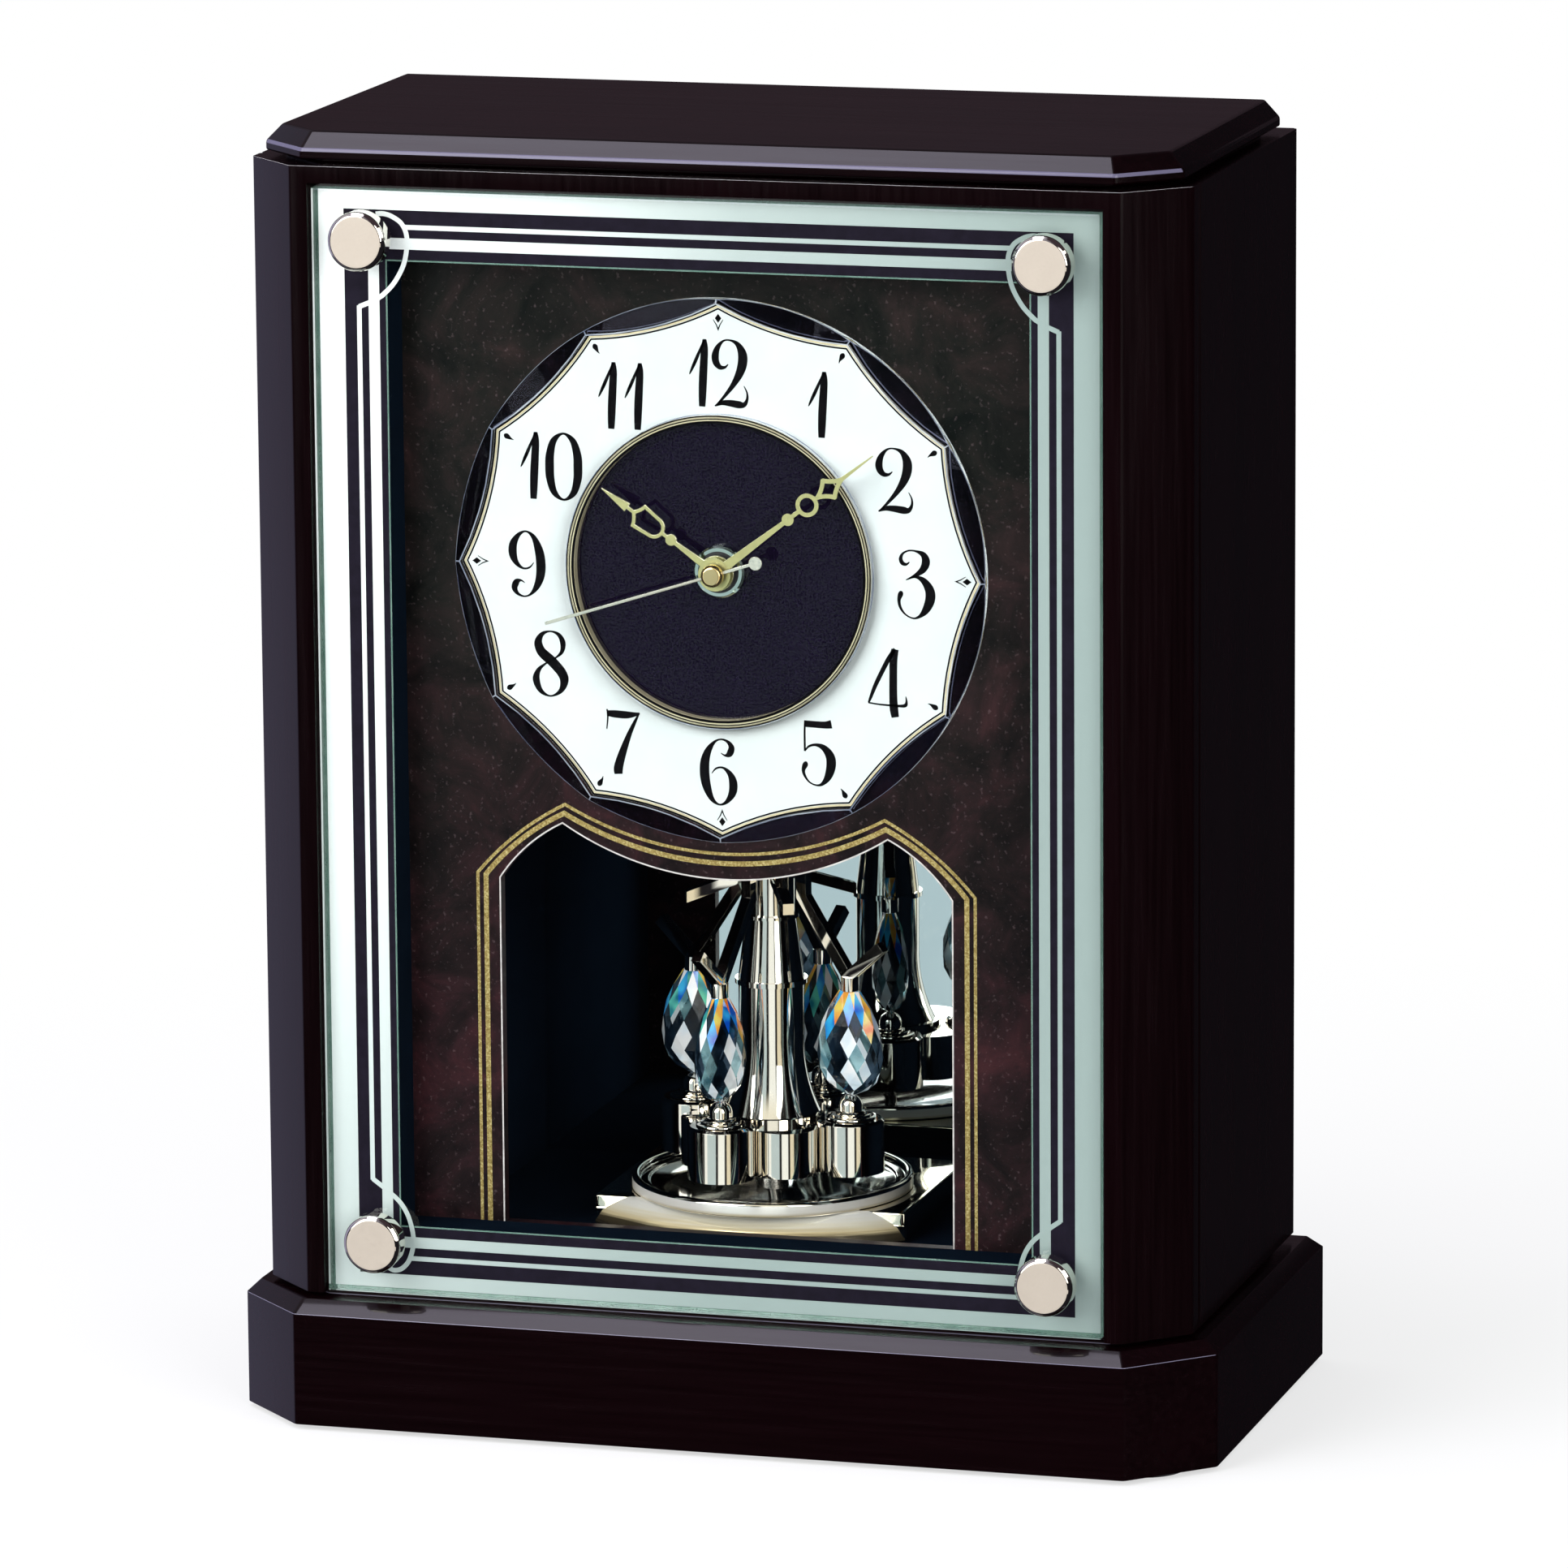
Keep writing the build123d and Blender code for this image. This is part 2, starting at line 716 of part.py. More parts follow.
# Dial board with the pendulum window, whose top follows the dial
window_shoulder_z = body_z + window_shoulder
window_peak_z = dial_z - sqrt(window_arc_radius**2 - window_peak_x**2)
flank = Vector(window_half_width - window_peak_x, window_shoulder_z - window_peak_z)
flank_middle = Vector(window_half_width + window_peak_x, window_shoulder_z + window_peak_z) / 2
flank_bulge = flank_middle + Vector(-flank.Y, flank.X).normalized() * window_bulge
with BuildPart() as dial_board:
    with BuildSketch(facing(board_back_y)):
        add(opening_outline(spacer_wall + board_lap))
        with BuildSketch(mode=Mode.SUBTRACT):
            with BuildLine():
                Polyline(
                    (-window_half_width, window_shoulder_z),
                    (-window_half_width, opening_z),
                    (window_half_width, opening_z),
                    (window_half_width, window_shoulder_z),
                )
                ThreePointArc(
                    (window_half_width, window_shoulder_z),
                    (flank_bulge.X, flank_bulge.Y),
                    (window_peak_x, window_peak_z),
                )
                ThreePointArc(
                    (window_peak_x, window_peak_z),
                    (0, dial_z - window_arc_radius),
                    (-window_peak_x, window_peak_z),
                )
                ThreePointArc(
                    (-window_peak_x, window_peak_z),
                    (-flank_bulge.X, flank_bulge.Y),
                    (-window_half_width, window_shoulder_z),
                )
            make_face()
    extrude(amount=board_thickness)
    with BuildSketch(dial_facing(board_back_y)):
        Circle(bushing_radius + fit_gap)
    extrude(amount=board_thickness, mode=Mode.SUBTRACT)
dial_board.part.label = "dial_board"
export_step(dial_board.part, "parts/dial_board.step")

# White hour ring with twelve tips
center_bore = center_radius + center_ring_width
with BuildPart() as dial_ring:
    with BuildSketch(dial_facing(board_y)):
        add(star_outline(star_radius))
        Circle(center_bore + fit_gap, mode=Mode.SUBTRACT)
    extrude(amount=ring_thickness)
dial_ring.part.label = "dial_ring"
export_step(dial_ring.part, "parts/dial_ring.step")

# Clear disc over the ring, its rim ground away outside each hollow side
half_step = pi / star_points
star_low = star_radius * cos(half_step) - star_sag
half_chord = star_radius * sin(half_step)
grind_radius = (half_chord**2 + star_sag**2) / (2 * star_sag)
with BuildPart() as dial_lens:
    with BuildSketch(dial_facing(ring_front_y)):
        Circle(lens_radius)
        Circle(center_bore + fit_gap, mode=Mode.SUBTRACT)
    extrude(amount=lens_thickness)
    for k in range(star_points):
        turn = (2 * k + 1) * half_step
        wheel_x = (star_low + grind_radius) * sin(turn)
        wheel_z = dial_z + (star_low + grind_radius) * cos(turn)
        with Locations(Plane(origin=(wheel_x, lens_front_y, wheel_z), z_dir=(0, 1, 0))):
            Cone(
                bottom_radius=grind_radius,
                top_radius=grind_radius - (lens_radius - star_low),
                height=lens_thickness - lens_edge,
                align=(Align.CENTER, Align.CENTER, Align.MIN),
                mode=Mode.SUBTRACT,
            )
dial_lens.part.label = "dial_lens"
export_step(dial_lens.part, "parts/dial_lens.step")

# Dark centre disc and the gilt ring round it
with BuildPart() as dial_center:
    with BuildSketch(dial_facing(board_y)):
        Circle(center_radius)
        Circle(bushing_radius + fit_gap, mode=Mode.SUBTRACT)
    extrude(amount=center_thickness)
dial_center.part.label = "dial_center"
export_step(dial_center.part, "parts/dial_center.step")

with BuildPart() as center_ring:
    with BuildSketch(dial_facing(board_y)):
        Circle(center_bore)
        Circle(center_radius + fit_gap, mode=Mode.SUBTRACT)
    extrude(amount=board_y - lens_front_y)
    chamfer(center_ring.faces().sort_by(Axis.Y)[0].edges(), center_ring_width / 3)
center_ring.part.label = "center_ring"
export_step(center_ring.part, "parts/center_ring.step")

# Slotted round nut that clamps the movement to the board
nut_front_y = center_front_y - nut_height
with BuildPart() as dial_nut:
    with BuildSketch(dial_facing(center_front_y)):
        Circle(nut_radius)
        Circle(bushing_radius + fit_gap, mode=Mode.SUBTRACT)
    extrude(amount=nut_height)
    nut_rim = dial_nut.faces().sort_by(Axis.Y)[0].edges().sort_by(SortBy.RADIUS)[-1]
    chamfer(nut_rim, nut_slot / 3)
    with BuildSketch(dial_facing(nut_front_y)):
        with PolarLocations(nut_radius, nut_slots, start_angle=degrees(pi / nut_slots)):
            Rectangle(nut_slot, nut_slot)
    extrude(amount=-nut_height / 2, mode=Mode.SUBTRACT)
dial_nut.part.label = "dial_nut"
export_step(dial_nut.part, "parts/dial_nut.step")

# Hands, one behind the other in front of the lens
hour_y = lens_front_y - hand_gap
minute_y = hour_y - hand_thickness - hand_gap
second_y = minute_y - hand_thickness - hand_gap


def taper_outline(start, end, start_width, end_width):
    """Bar along a hand from one distance to another, with a width at each end."""
    with BuildSketch(Plane.XY) as outline:
        Polygon(
            (-start_width / 2, start),
            (-end_width / 2, end),
            (end_width / 2, end),
            (start_width / 2, start),
            align=None,
        )
    return outline.sketch


def loop_outline():
    """Loop of the hour hand: round near the hub, with two horns before the neck."""
    round_y = hour_loop_start + hand_loop_radius
    neck = hand_stroke / 2
    hollow_x = (hour_horn + neck) / 2
    hollow_y = (hour_loop_corner + hour_loop_end) / 2 - hand_stroke / 4
    with BuildSketch(Plane.XY) as outline:
        with BuildLine():
            ThreePointArc((-hand_loop_radius, round_y), (0, hour_loop_start), (hand_loop_radius, round_y))
            Line((hand_loop_radius, round_y), (hour_horn, hour_loop_corner))
            ThreePointArc((hour_horn, hour_loop_corner), (hollow_x, hollow_y), (neck, hour_loop_end))
            Line((neck, hour_loop_end), (-neck, hour_loop_end))
            ThreePointArc((-neck, hour_loop_end), (-hollow_x, hollow_y), (-hour_horn, hour_loop_corner))
            Line((-hour_horn, hour_loop_corner), (-hand_loop_radius, round_y))
        make_face()
    return outline.sketch


def diamond_outline():
    """Diamond of the minute hand, with hollow sides and rounded corners."""
    neck = hand_stroke / 2
    pull = hand_stroke / 2
    low_y = (minute_diamond_start + minute_diamond_corner + pull) / 2
    high_y = (minute_diamond_end + minute_diamond_corner - pull) / 2
    side_x = (diamond_half_width + neck - pull) / 2
    with BuildSketch(Plane.XY) as outline:
        with BuildLine():
            for side in (-1, 1):
                corner = (side * diamond_half_width, minute_diamond_corner)
                ThreePointArc((side * neck, minute_diamond_start), (side * side_x, low_y), corner)
                ThreePointArc(corner, (side * side_x, high_y), (side * neck, minute_diamond_end))
            Line((-neck, minute_diamond_start), (neck, minute_diamond_start))
            Line((-neck, minute_diamond_end), (neck, minute_diamond_end))
        make_face()
        corners = outline.vertices().sort_by(Axis.X)
        fillet([corners[0], corners[-1]], hand_stroke / 2)
    return outline.sketch


with BuildPart() as hour_hand:
    with BuildSketch(dial_facing(hour_y, hour_angle)):
        Circle(hour_hub_radius)
        add(taper_outline(0, hour_ball_at, hand_stem_hub, hand_stem_tip))
        add(taper_outline(hour_ball_at, hour_loop_start + hand_stroke / 2, hand_stem_tip, hand_stem_tip))
        with Locations((0, hour_ball_at)):
            Circle(hand_ball_radius)
        add(loop_outline())
        with BuildSketch(mode=Mode.SUBTRACT):
            add(loop_outline())
            offset(amount=-hand_stroke)
        add(taper_outline(hour_loop_end - hand_stroke, hour_shoulder, hand_stroke, hand_stroke))
        add(taper_outline(hour_shoulder, hour_length, 2 * spear_half_width, 2 * tip_half_width))
        Circle(hour_pipe_radius + fit_gap, mode=Mode.SUBTRACT)
    extrude(amount=hand_thickness)
hour_hand.part.label = "hour_hand"
export_step(hour_hand.part, "parts/hour_hand.step")

with BuildPart() as minute_hand:
    with BuildSketch(dial_facing(minute_y, minute_angle)):
        Circle(minute_hub_radius)
        add(taper_outline(0, minute_ball_at, hand_stem_hub, hand_stem_tip))
        add(taper_outline(minute_ball_at, minute_diamond_start + hand_stroke, hand_stem_tip, hand_stroke))
        with Locations((0, minute_ball_at)):
            Circle(hand_ball_radius)
        with Locations((0, minute_ring_at)):
            Circle(hand_loop_radius)
            Circle(hand_loop_radius - hand_stroke, mode=Mode.SUBTRACT)
        add(diamond_outline())
        with BuildSketch(mode=Mode.SUBTRACT):
            add(diamond_outline())
            offset(amount=-hand_stroke)
        add(taper_outline(minute_diamond_end - hand_stroke, minute_length, hand_stem_tip, 2 * tip_half_width))
        Circle(cannon_radius + fit_gap, mode=Mode.SUBTRACT)
    extrude(amount=hand_thickness)
minute_hand.part.label = "minute_hand"
export_step(minute_hand.part, "parts/minute_hand.step")

# Seconds hand with its counterweight and domed boss
with BuildPart() as second_hand:
    with BuildSketch(dial_facing(second_y, second_angle)):
        add(taper_outline(-second_tail, second_length, second_width, second_width))
        with Locations((0, -second_tail)):
            Circle(second_disc_radius)
    extrude(amount=hand_thickness / 2)
    with BuildSketch(dial_facing(second_y)):
        Circle(boss_radius)
    extrude(amount=boss_height)
    fillet(second_hand.faces().sort_by(Axis.Y)[0].edges(), boss_height / 2)
    with BuildSketch(dial_facing(second_y)):
        Circle(arbor_radius + fit_gap)
    extrude(amount=boss_height / 2, mode=Mode.SUBTRACT)
second_hand.part.label = "second_hand"
export_step(second_hand.part, "parts/second_hand.step")

# Movement: places of its wheels along the hand axis and of what lies beside them
case_inner_y = board_back_y + movement_wall
cover_y = board_back_y + movement_depth - movement_wall
cover_back_y = cover_y + movement_wall
hour_wheel_y = case_inner_y + gear_gap
cannon_y = hour_wheel_y + gear_thickness + gear_gap
second_wheel_y = cannon_y + gear_thickness + gear_gap
wheel_back_y = second_wheel_y + gear_thickness
hour_pitch = train_distance * hour_teeth / (hour_teeth + hour_pinion_teeth)
hour_pinion_pitch = train_distance - hour_pitch
wheel_pitch = train_distance * wheel_teeth / (wheel_teeth + cannon_teeth)
cannon_pitch = train_distance - wheel_pitch
case_inner = movement_size / 2 - movement_wall
bay_z = dial_z - case_inner + 2 * (battery_radius + battery_gap)
battery_z = dial_z - case_inner + battery_gap + battery_radius
battery_y = case_inner_y + battery_gap + battery_radius
battery_end_x = case_inner - contact_thickness - battery_tip_height
flange_radius = coil_radius + coil_flange
coil_z = dial_z + coil_rise
coil_y = cover_y - battery_gap - flange_radius
coil_x = coil_inset + coil_length / 2 - case_inner
coil_post_x = (coil_x - (coil_length - coil_flange_width) / 2, coil_x + (coil_length - coil_flange_width) / 2)
circuit_x = case_inner - circuit_inset - circuit_width / 2
circuit_z = bay_z + bay_wall + circuit_inset + circuit_height / 2
circuit_post_reach = circuit_height / 2 - 2 * post_radius
circuit_post_z = (circuit_z - circuit_post_reach, circuit_z + circuit_post_reach)

# Movement case: front wall with the threaded bushing, rim, battery bay wall and posts
with BuildPart() as movement_case:
    with BuildSketch(dial_facing(cover_y)):
        Rectangle(movement_size, movement_size)
    extrude(amount=cover_y - board_back_y)
    fillet(movement_case.edges().filter_by(Axis.Y), movement_wall)
    with BuildSketch(dial_facing(cover_y)):
        Rectangle(2 * case_inner, 2 * case_inner)
    extrude(amount=cover_y - case_inner_y, mode=Mode.SUBTRACT)
    with BuildSketch(facing(cover_y)):
        with Locations((0, bay_z + bay_wall / 2)):
            Rectangle(2 * case_inner, bay_wall)
    extrude(amount=cover_y - case_inner_y)
    with BuildSketch(facing(coil_y - flange_radius)):
        with Locations(*[(x, coil_z) for x in coil_post_x]):
            Circle(post_radius)
    extrude(amount=coil_y - flange_radius - case_inner_y)
    with BuildSketch(facing(wheel_back_y)):
        with Locations(*[(circuit_x, z) for z in circuit_post_z]):
            Circle(post_radius)
    extrude(amount=wheel_back_y - case_inner_y)
    with BuildSketch(dial_facing(board_back_y)):
        Circle(bushing_radius)
    extrude(amount=board_back_y - nut_front_y)
    with BuildSketch(dial_facing(case_inner_y)):
        Circle(bushing_bore)
    extrude(amount=case_inner_y - nut_front_y, mode=Mode.SUBTRACT)
    with BuildSketch(stem_facing(case_inner_y)):
        Circle(stem_pivot_radius + bearing_gap)
    extrude(amount=movement_wall, mode=Mode.SUBTRACT)
movement_case.part.label = "movement_case"
export_step(movement_case.part, "parts/movement_case.step")

# Cover over the wheels, with the bearings of the seconds arbor and of the stem
with BuildPart() as movement_cover:
    with BuildSketch(facing(cover_back_y)):
        with Locations((0, (bay_z + dial_z + movement_size / 2) / 2)):
            Rectangle(movement_size, dial_z + movement_size / 2 - bay_z)
    extrude(amount=movement_wall)
    fillet(movement_cover.edges().filter_by(Axis.Y).group_by(Axis.Z)[-1], movement_wall)
    with BuildSketch(dial_facing(cover_back_y)):
        Circle(arbor_radius + bearing_gap)
    extrude(amount=movement_wall, mode=Mode.SUBTRACT)
    with BuildSketch(stem_facing(cover_back_y)):
        Circle(stem_radius + bearing_gap)
    extrude(amount=movement_wall, mode=Mode.SUBTRACT)
movement_cover.part.label = "movement_cover"
export_step(movement_cover.part, "parts/movement_cover.step")

# Battery of the movement, its tip towards +X, and the contacts at its two ends
with BuildPart() as movement_battery:
    with BuildSketch(Plane(origin=(battery_end_x, battery_y, battery_z), z_dir=(-1, 0, 0))):
        Circle(battery_radius)
    extrude(amount=battery_length)
    chamfer(movement_battery.edges(), battery_gap)
    with BuildSketch(Plane(origin=(battery_end_x, battery_y, battery_z), z_dir=(1, 0, 0))):
        Circle(battery_tip_radius)
    extrude(amount=battery_tip_height)
movement_battery.part.label = "movement_battery"
export_step(movement_battery.part, "parts/movement_battery.step")

spring_length = battery_end_x - battery_length + case_inner - contact_thickness
with BuildPart() as battery_contacts:
    with BuildSketch(Plane(origin=(-case_inner, battery_y, battery_z), z_dir=(1, 0, 0))):
        Rectangle(contact_width, contact_width)
    extrude(amount=contact_thickness)
    with BuildSketch(Plane(origin=(case_inner, battery_y, battery_z), z_dir=(-1, 0, 0))):
        Rectangle(contact_width, contact_width)
    extrude(amount=contact_thickness)
    with Locations(Plane(origin=(contact_thickness - case_inner, battery_y, battery_z), z_dir=(1, 0, 0))):
        Cone(
            bottom_radius=spring_radius,
            top_radius=spring_tip_radius,
            height=spring_length,
            align=(Align.CENTER, Align.CENTER, Align.MIN),
        )
battery_contacts.part.label = "battery_contacts"
export_step(battery_contacts.part, "parts/battery_contacts.step")

# Step motor's coil on its posts, and the circuit board on its own
with BuildPart() as step_coil:
    with BuildSketch(Plane(origin=(coil_x - coil_length / 2, coil_y, coil_z), z_dir=(1, 0, 0))):
        Circle(coil_radius)
    extrude(amount=coil_length)
    for x, outward in ((coil_x - coil_length / 2, 1), (coil_x + coil_length / 2, -1)):
        with BuildSketch(Plane(origin=(x, coil_y, coil_z), z_dir=(outward, 0, 0))):
            Rectangle(2 * flange_radius, 2 * flange_radius)
        extrude(amount=coil_flange_width)
step_coil.part.label = "step_coil"
export_step(step_coil.part, "parts/step_coil.step")

with BuildPart() as circuit_board:
    with BuildSketch(facing(wheel_back_y + circuit_thickness)):
        with Locations((circuit_x, circuit_z)):
            Rectangle(circuit_width, circuit_height)
    extrude(amount=circuit_thickness)
circuit_board.part.label = "circuit_board"
export_step(circuit_board.part, "parts/circuit_board.step")

# Hour wheel with the pipe that carries the hour hand
with BuildPart() as hour_wheel:
    with BuildSketch(dial_facing(hour_wheel_y + gear_thickness)):
        add(spur_outline(hour_teeth, hour_pitch, 90))
    extrude(amount=gear_thickness)
    with BuildSketch(dial_facing(hour_wheel_y)):
        Circle(hour_pipe_radius)
    extrude(amount=hour_wheel_y - hour_y + hand_thickness)
    with BuildSketch(dial_facing(hour_wheel_y + gear_thickness)):
        Circle(hour_pipe_bore)
    extrude(amount=hour_wheel_y + gear_thickness - hour_y + hand_thickness, mode=Mode.SUBTRACT)
hour_wheel.part.label = "hour_wheel"
export_step(hour_wheel.part, "parts/hour_wheel.step")

# Cannon pinion with the pipe that carries the minute hand
with BuildPart() as cannon_pinion:
    with BuildSketch(dial_facing(cannon_y + gear_thickness)):
        add(spur_outline(cannon_teeth, cannon_pitch, 90))
    extrude(amount=gear_thickness)
    with BuildSketch(dial_facing(cannon_y)):
        Circle(cannon_radius)
    extrude(amount=cannon_y - minute_y + hand_thickness)
    with BuildSketch(dial_facing(cannon_y + gear_thickness)):
        Circle(cannon_bore)
    extrude(amount=cannon_y + gear_thickness - minute_y + hand_thickness, mode=Mode.SUBTRACT)
cannon_pinion.part.label = "cannon_pinion"
export_step(cannon_pinion.part, "parts/cannon_pinion.step")

# Intermediate wheel and its pinion on the stem that the setting knob turns
knob_face_y = cover_back_y + set_knob_gap
with BuildPart() as minute_wheel:
    with BuildSketch(stem_facing(cannon_y + gear_thickness)):
        add(spur_outline(wheel_teeth, wheel_pitch, 180 / wheel_teeth - 90))
    extrude(amount=gear_thickness)
    with BuildSketch(stem_facing(hour_wheel_y + gear_thickness)):
        add(spur_outline(hour_pinion_teeth, hour_pinion_pitch, 180 / hour_pinion_teeth - 90))
    extrude(amount=gear_thickness)
    with BuildSketch(stem_facing(knob_face_y + set_knob_socket)):
        Circle(stem_radius)
    extrude(amount=knob_face_y + set_knob_socket - hour_wheel_y)
    with BuildSketch(stem_facing(hour_wheel_y)):
        Circle(stem_pivot_radius)
    extrude(amount=gear_gap + movement_wall / 2)
minute_wheel.part.label = "minute_wheel"
export_step(minute_wheel.part, "parts/minute_wheel.step")

# Grooved knob that sets the hands from behind
with BuildPart() as set_knob:
    with BuildSketch(stem_facing(knob_face_y + set_knob_height)):
        Circle(set_knob_radius)
        with PolarLocations(set_knob_radius, set_knob_grips):
            Circle(grip_radius, mode=Mode.SUBTRACT)
    extrude(amount=set_knob_height)
    with BuildSketch(stem_facing(knob_face_y)):
        Circle(stem_radius + fit_gap)
    extrude(amount=-set_knob_socket, mode=Mode.SUBTRACT)
set_knob.part.label = "set_knob"
export_step(set_knob.part, "parts/set_knob.step")

# Seconds wheel, its arbor running from the cover through both pipes into the boss
with BuildPart() as second_wheel:
    with BuildSketch(dial_facing(wheel_back_y)):
        add(spur_outline(second_teeth, second_pitch, 90))
    extrude(amount=gear_thickness)
    with BuildSketch(dial_facing(cover_back_y)):
        Circle(arbor_radius)
    extrude(amount=cover_back_y - second_y + boss_height / 2)
second_wheel.part.label = "second_wheel"
export_step(second_wheel.part, "parts/second_wheel.step")

# Pendulum chamber: side walls, roof and the mirror between the walls
chamber_top_z = floor_z + chamber_height
for side_name, side in (("left", -1), ("right", 1)):
    with BuildPart() as chamber_side:
        with BuildSketch(Plane.XY.offset(floor_z)):
            wall_x = side * (chamber_half_width + chamber_wall / 2)
            with Locations((wall_x, (board_back_y + back_y) / 2)):
                Rectangle(chamber_wall, back_y - board_back_y)
        extrude(amount=chamber_height)
    chamber_side.part.label = f"chamber_wall_{side_name}"
    export_step(chamber_side.part, f"parts/chamber_wall_{side_name}.step")

with BuildPart() as chamber_roof:
    with BuildSketch(Plane.XY.offset(chamber_top_z)):
        with Locations((0, (board_back_y + back_y) / 2)):
            Rectangle(2 * (chamber_half_width + chamber_wall), back_y - board_back_y)
    extrude(amount=chamber_wall)
chamber_roof.part.label = "chamber_roof"
export_step(chamber_roof.part, "parts/chamber_roof.step")

with BuildPart() as mirror:
    with BuildSketch(facing(back_y)):
        with Locations((0, floor_z + (chamber_height - mirror_gap) / 2)):
            Rectangle(2 * (chamber_half_width - mirror_gap), chamber_height - mirror_gap)
    extrude(amount=mirror_thickness)
mirror.part.label = "mirror"
export_step(mirror.part, "parts/mirror.step")

# Stage: a bowed plate on a hollow plinth, over the coil that drives the pendulum
stage_z = floor_z + stage_height
stage_front_y = pendulum_y - stage_front
stage_back_y = pendulum_y + stage_back
with BuildPart() as stage:
    with BuildSketch(Plane.XY.offset(floor_z)):
        with Locations((0, (stage_front_y + stage_back_y) / 2)):
            Rectangle(2 * stage_half_width, stage_back_y - stage_front_y)
            Rectangle(
                2 * (stage_half_width - stage_wall),
                stage_back_y - stage_front_y - 2 * stage_wall,
                mode=Mode.SUBTRACT,
            )
    extrude(amount=stage_height - stage_plate)
    with BuildSketch(Plane.XY.offset(stage_z - stage_plate)):
        with BuildLine():
            Polyline(
                (-stage_half_width, stage_front_y),
                (-stage_half_width, stage_back_y),
                (stage_half_width, stage_back_y),
                (stage_half_width, stage_front_y),
            )
            ThreePointArc(
                (stage_half_width, stage_front_y),
                (0, board_back_y + stage_front_gap),
                (-stage_half_width, stage_front_y),
            )
        make_face()
    extrude(amount=stage_plate)
    with BuildSketch(rotor_level(stage_z - stage_plate)):
        Circle(pivot_radius + fit_gap)
    extrude(amount=stage_plate, mode=Mode.SUBTRACT)
stage.part.label = "stage"
export_step(stage.part, "parts/stage.step")

# Round dish on the stage, turned to its section
with BuildPart() as stage_dish:
    with BuildSketch(rotor_section(0)):
        with BuildLine():
            Polyline(
                (pivot_radius + fit_gap, stage_z),
                (dish_radius, stage_z),
                (dish_radius, stage_z + dish_height),
                (dish_radius - dish_rim, stage_z + dish_height),
                (dish_radius - dish_rim, stage_z + dish_floor + dish_step_height),
                (dish_step_radius, stage_z + dish_floor + dish_step_height),
                (dish_step_radius, stage_z + dish_floor),
                (pivot_radius + fit_gap, stage_z + dish_floor),
                close=True,
            )
        make_face()
    revolve(axis=Axis((0, pendulum_y, 0), (0, 0, 1)))
    chamfer(stage_dish.faces().sort_by(Axis.Z)[-1].edges(), dish_rim / 4)
stage_dish.part.label = "stage_dish"
export_step(stage_dish.part, "parts/stage_dish.step")

# Pin that carries the pendulum, with a flange on the dish
rotor_z = stage_z + dish_height + pod_lift
pin_top_z = rotor_z + pivot_engagement
with BuildPart() as pivot_pin:
    with BuildSketch(rotor_level(stage_z - stage_plate)):
        Circle(pivot_radius)
    extrude(amount=pin_top_z - stage_z + stage_plate)
    with BuildSketch(rotor_level(stage_z + dish_floor)):
        Circle(pivot_foot_radius)
    extrude(amount=pivot_foot_height)
pivot_pin.part.label = "pivot_pin"
export_step(pivot_pin.part, "parts/pivot_pin.step")

# Coil under the ring of magnets
with BuildPart() as drive_coil:
    with BuildSketch(rotor_level(floor_z)):
        with Locations((0, crystal_circle)):
            Circle(drive_coil_radius)
            Circle(drive_coil_bore, mode=Mode.SUBTRACT)
    extrude(amount=drive_coil_height)
drive_coil.part.label = "drive_coil"
export_step(drive_coil.part, "parts/drive_coil.step")

# Rotor: four pods for the crystals and four lobes between them round a hub
crystal_step = 360 / crystal_count
pod_top_z = rotor_z + pod_height
lobe_top_z = rotor_z + lobe_height
with BuildPart() as rotor_base:
    with BuildSketch(rotor_level(rotor_z)):
        Circle(lobe_circle)
        with PolarLocations(lobe_circle, crystal_count, start_angle=crystal_start_angle + crystal_step / 2):
            Circle(lobe_radius)
    extrude(amount=lobe_height)
    with BuildSketch(rotor_level(rotor_z)):
        with PolarLocations(crystal_circle, crystal_count, start_angle=crystal_start_angle):
            Circle(pod_radius)
    extrude(amount=pod_height)
    chamfer(rotor_base.faces().group_by(Axis.Z)[-1].edges(), pod_round)
    with BuildSketch(rotor_level(rotor_z)):
        with PolarLocations(crystal_circle, crystal_count, start_angle=crystal_start_angle):
            Circle(magnet_radius + fit_gap)
    extrude(amount=magnet_height, mode=Mode.SUBTRACT)
    with BuildSketch(rotor_level(rotor_z)):
        Circle(pivot_radius + rotor_bore_gap)
    extrude(amount=pivot_engagement + pivot_end_gap, mode=Mode.SUBTRACT)
rotor_base.part.label = "rotor_base"
export_step(rotor_base.part, "parts/rotor_base.step")

with BuildPart() as rotor_magnets:
    with BuildSketch(rotor_level(rotor_z)):
        with PolarLocations(crystal_circle, crystal_count, start_angle=crystal_start_angle):
            Circle(magnet_radius)
    extrude(amount=magnet_height)
rotor_magnets.part.label = "rotor_magnets"
export_step(rotor_magnets.part, "parts/rotor_magnets.step")

# Finials: collar, step and ball that hold each crystal from below
collar_top_z = pod_top_z + collar_height
ball_z = collar_top_z + collar_step_height + ball_radius / 2
crystal_z = ball_z + ball_radius + crystal_gap
with BuildPart() as finials:
    for k in range(crystal_count):
        turn = radians(crystal_start_angle + k * crystal_step)
        x = crystal_circle * cos(turn)
        y = pendulum_y + crystal_circle * sin(turn)
        with BuildSketch(Plane(origin=(x, y, pod_top_z))):
            Circle(collar_radius)
        extrude(amount=collar_height)
        with BuildSketch(Plane(origin=(x, y, collar_top_z))):
            Circle(collar_step_radius)
        extrude(amount=collar_step_height)
        with Locations((x, y, ball_z)):
            Sphere(ball_radius)
        with BuildSketch(Plane(origin=(x, y, ball_z))):
            Circle(arm_width / 2)
        extrude(amount=crystal_z - ball_z)
finials.part.label = "finials"
export_step(finials.part, "parts/finials.step")

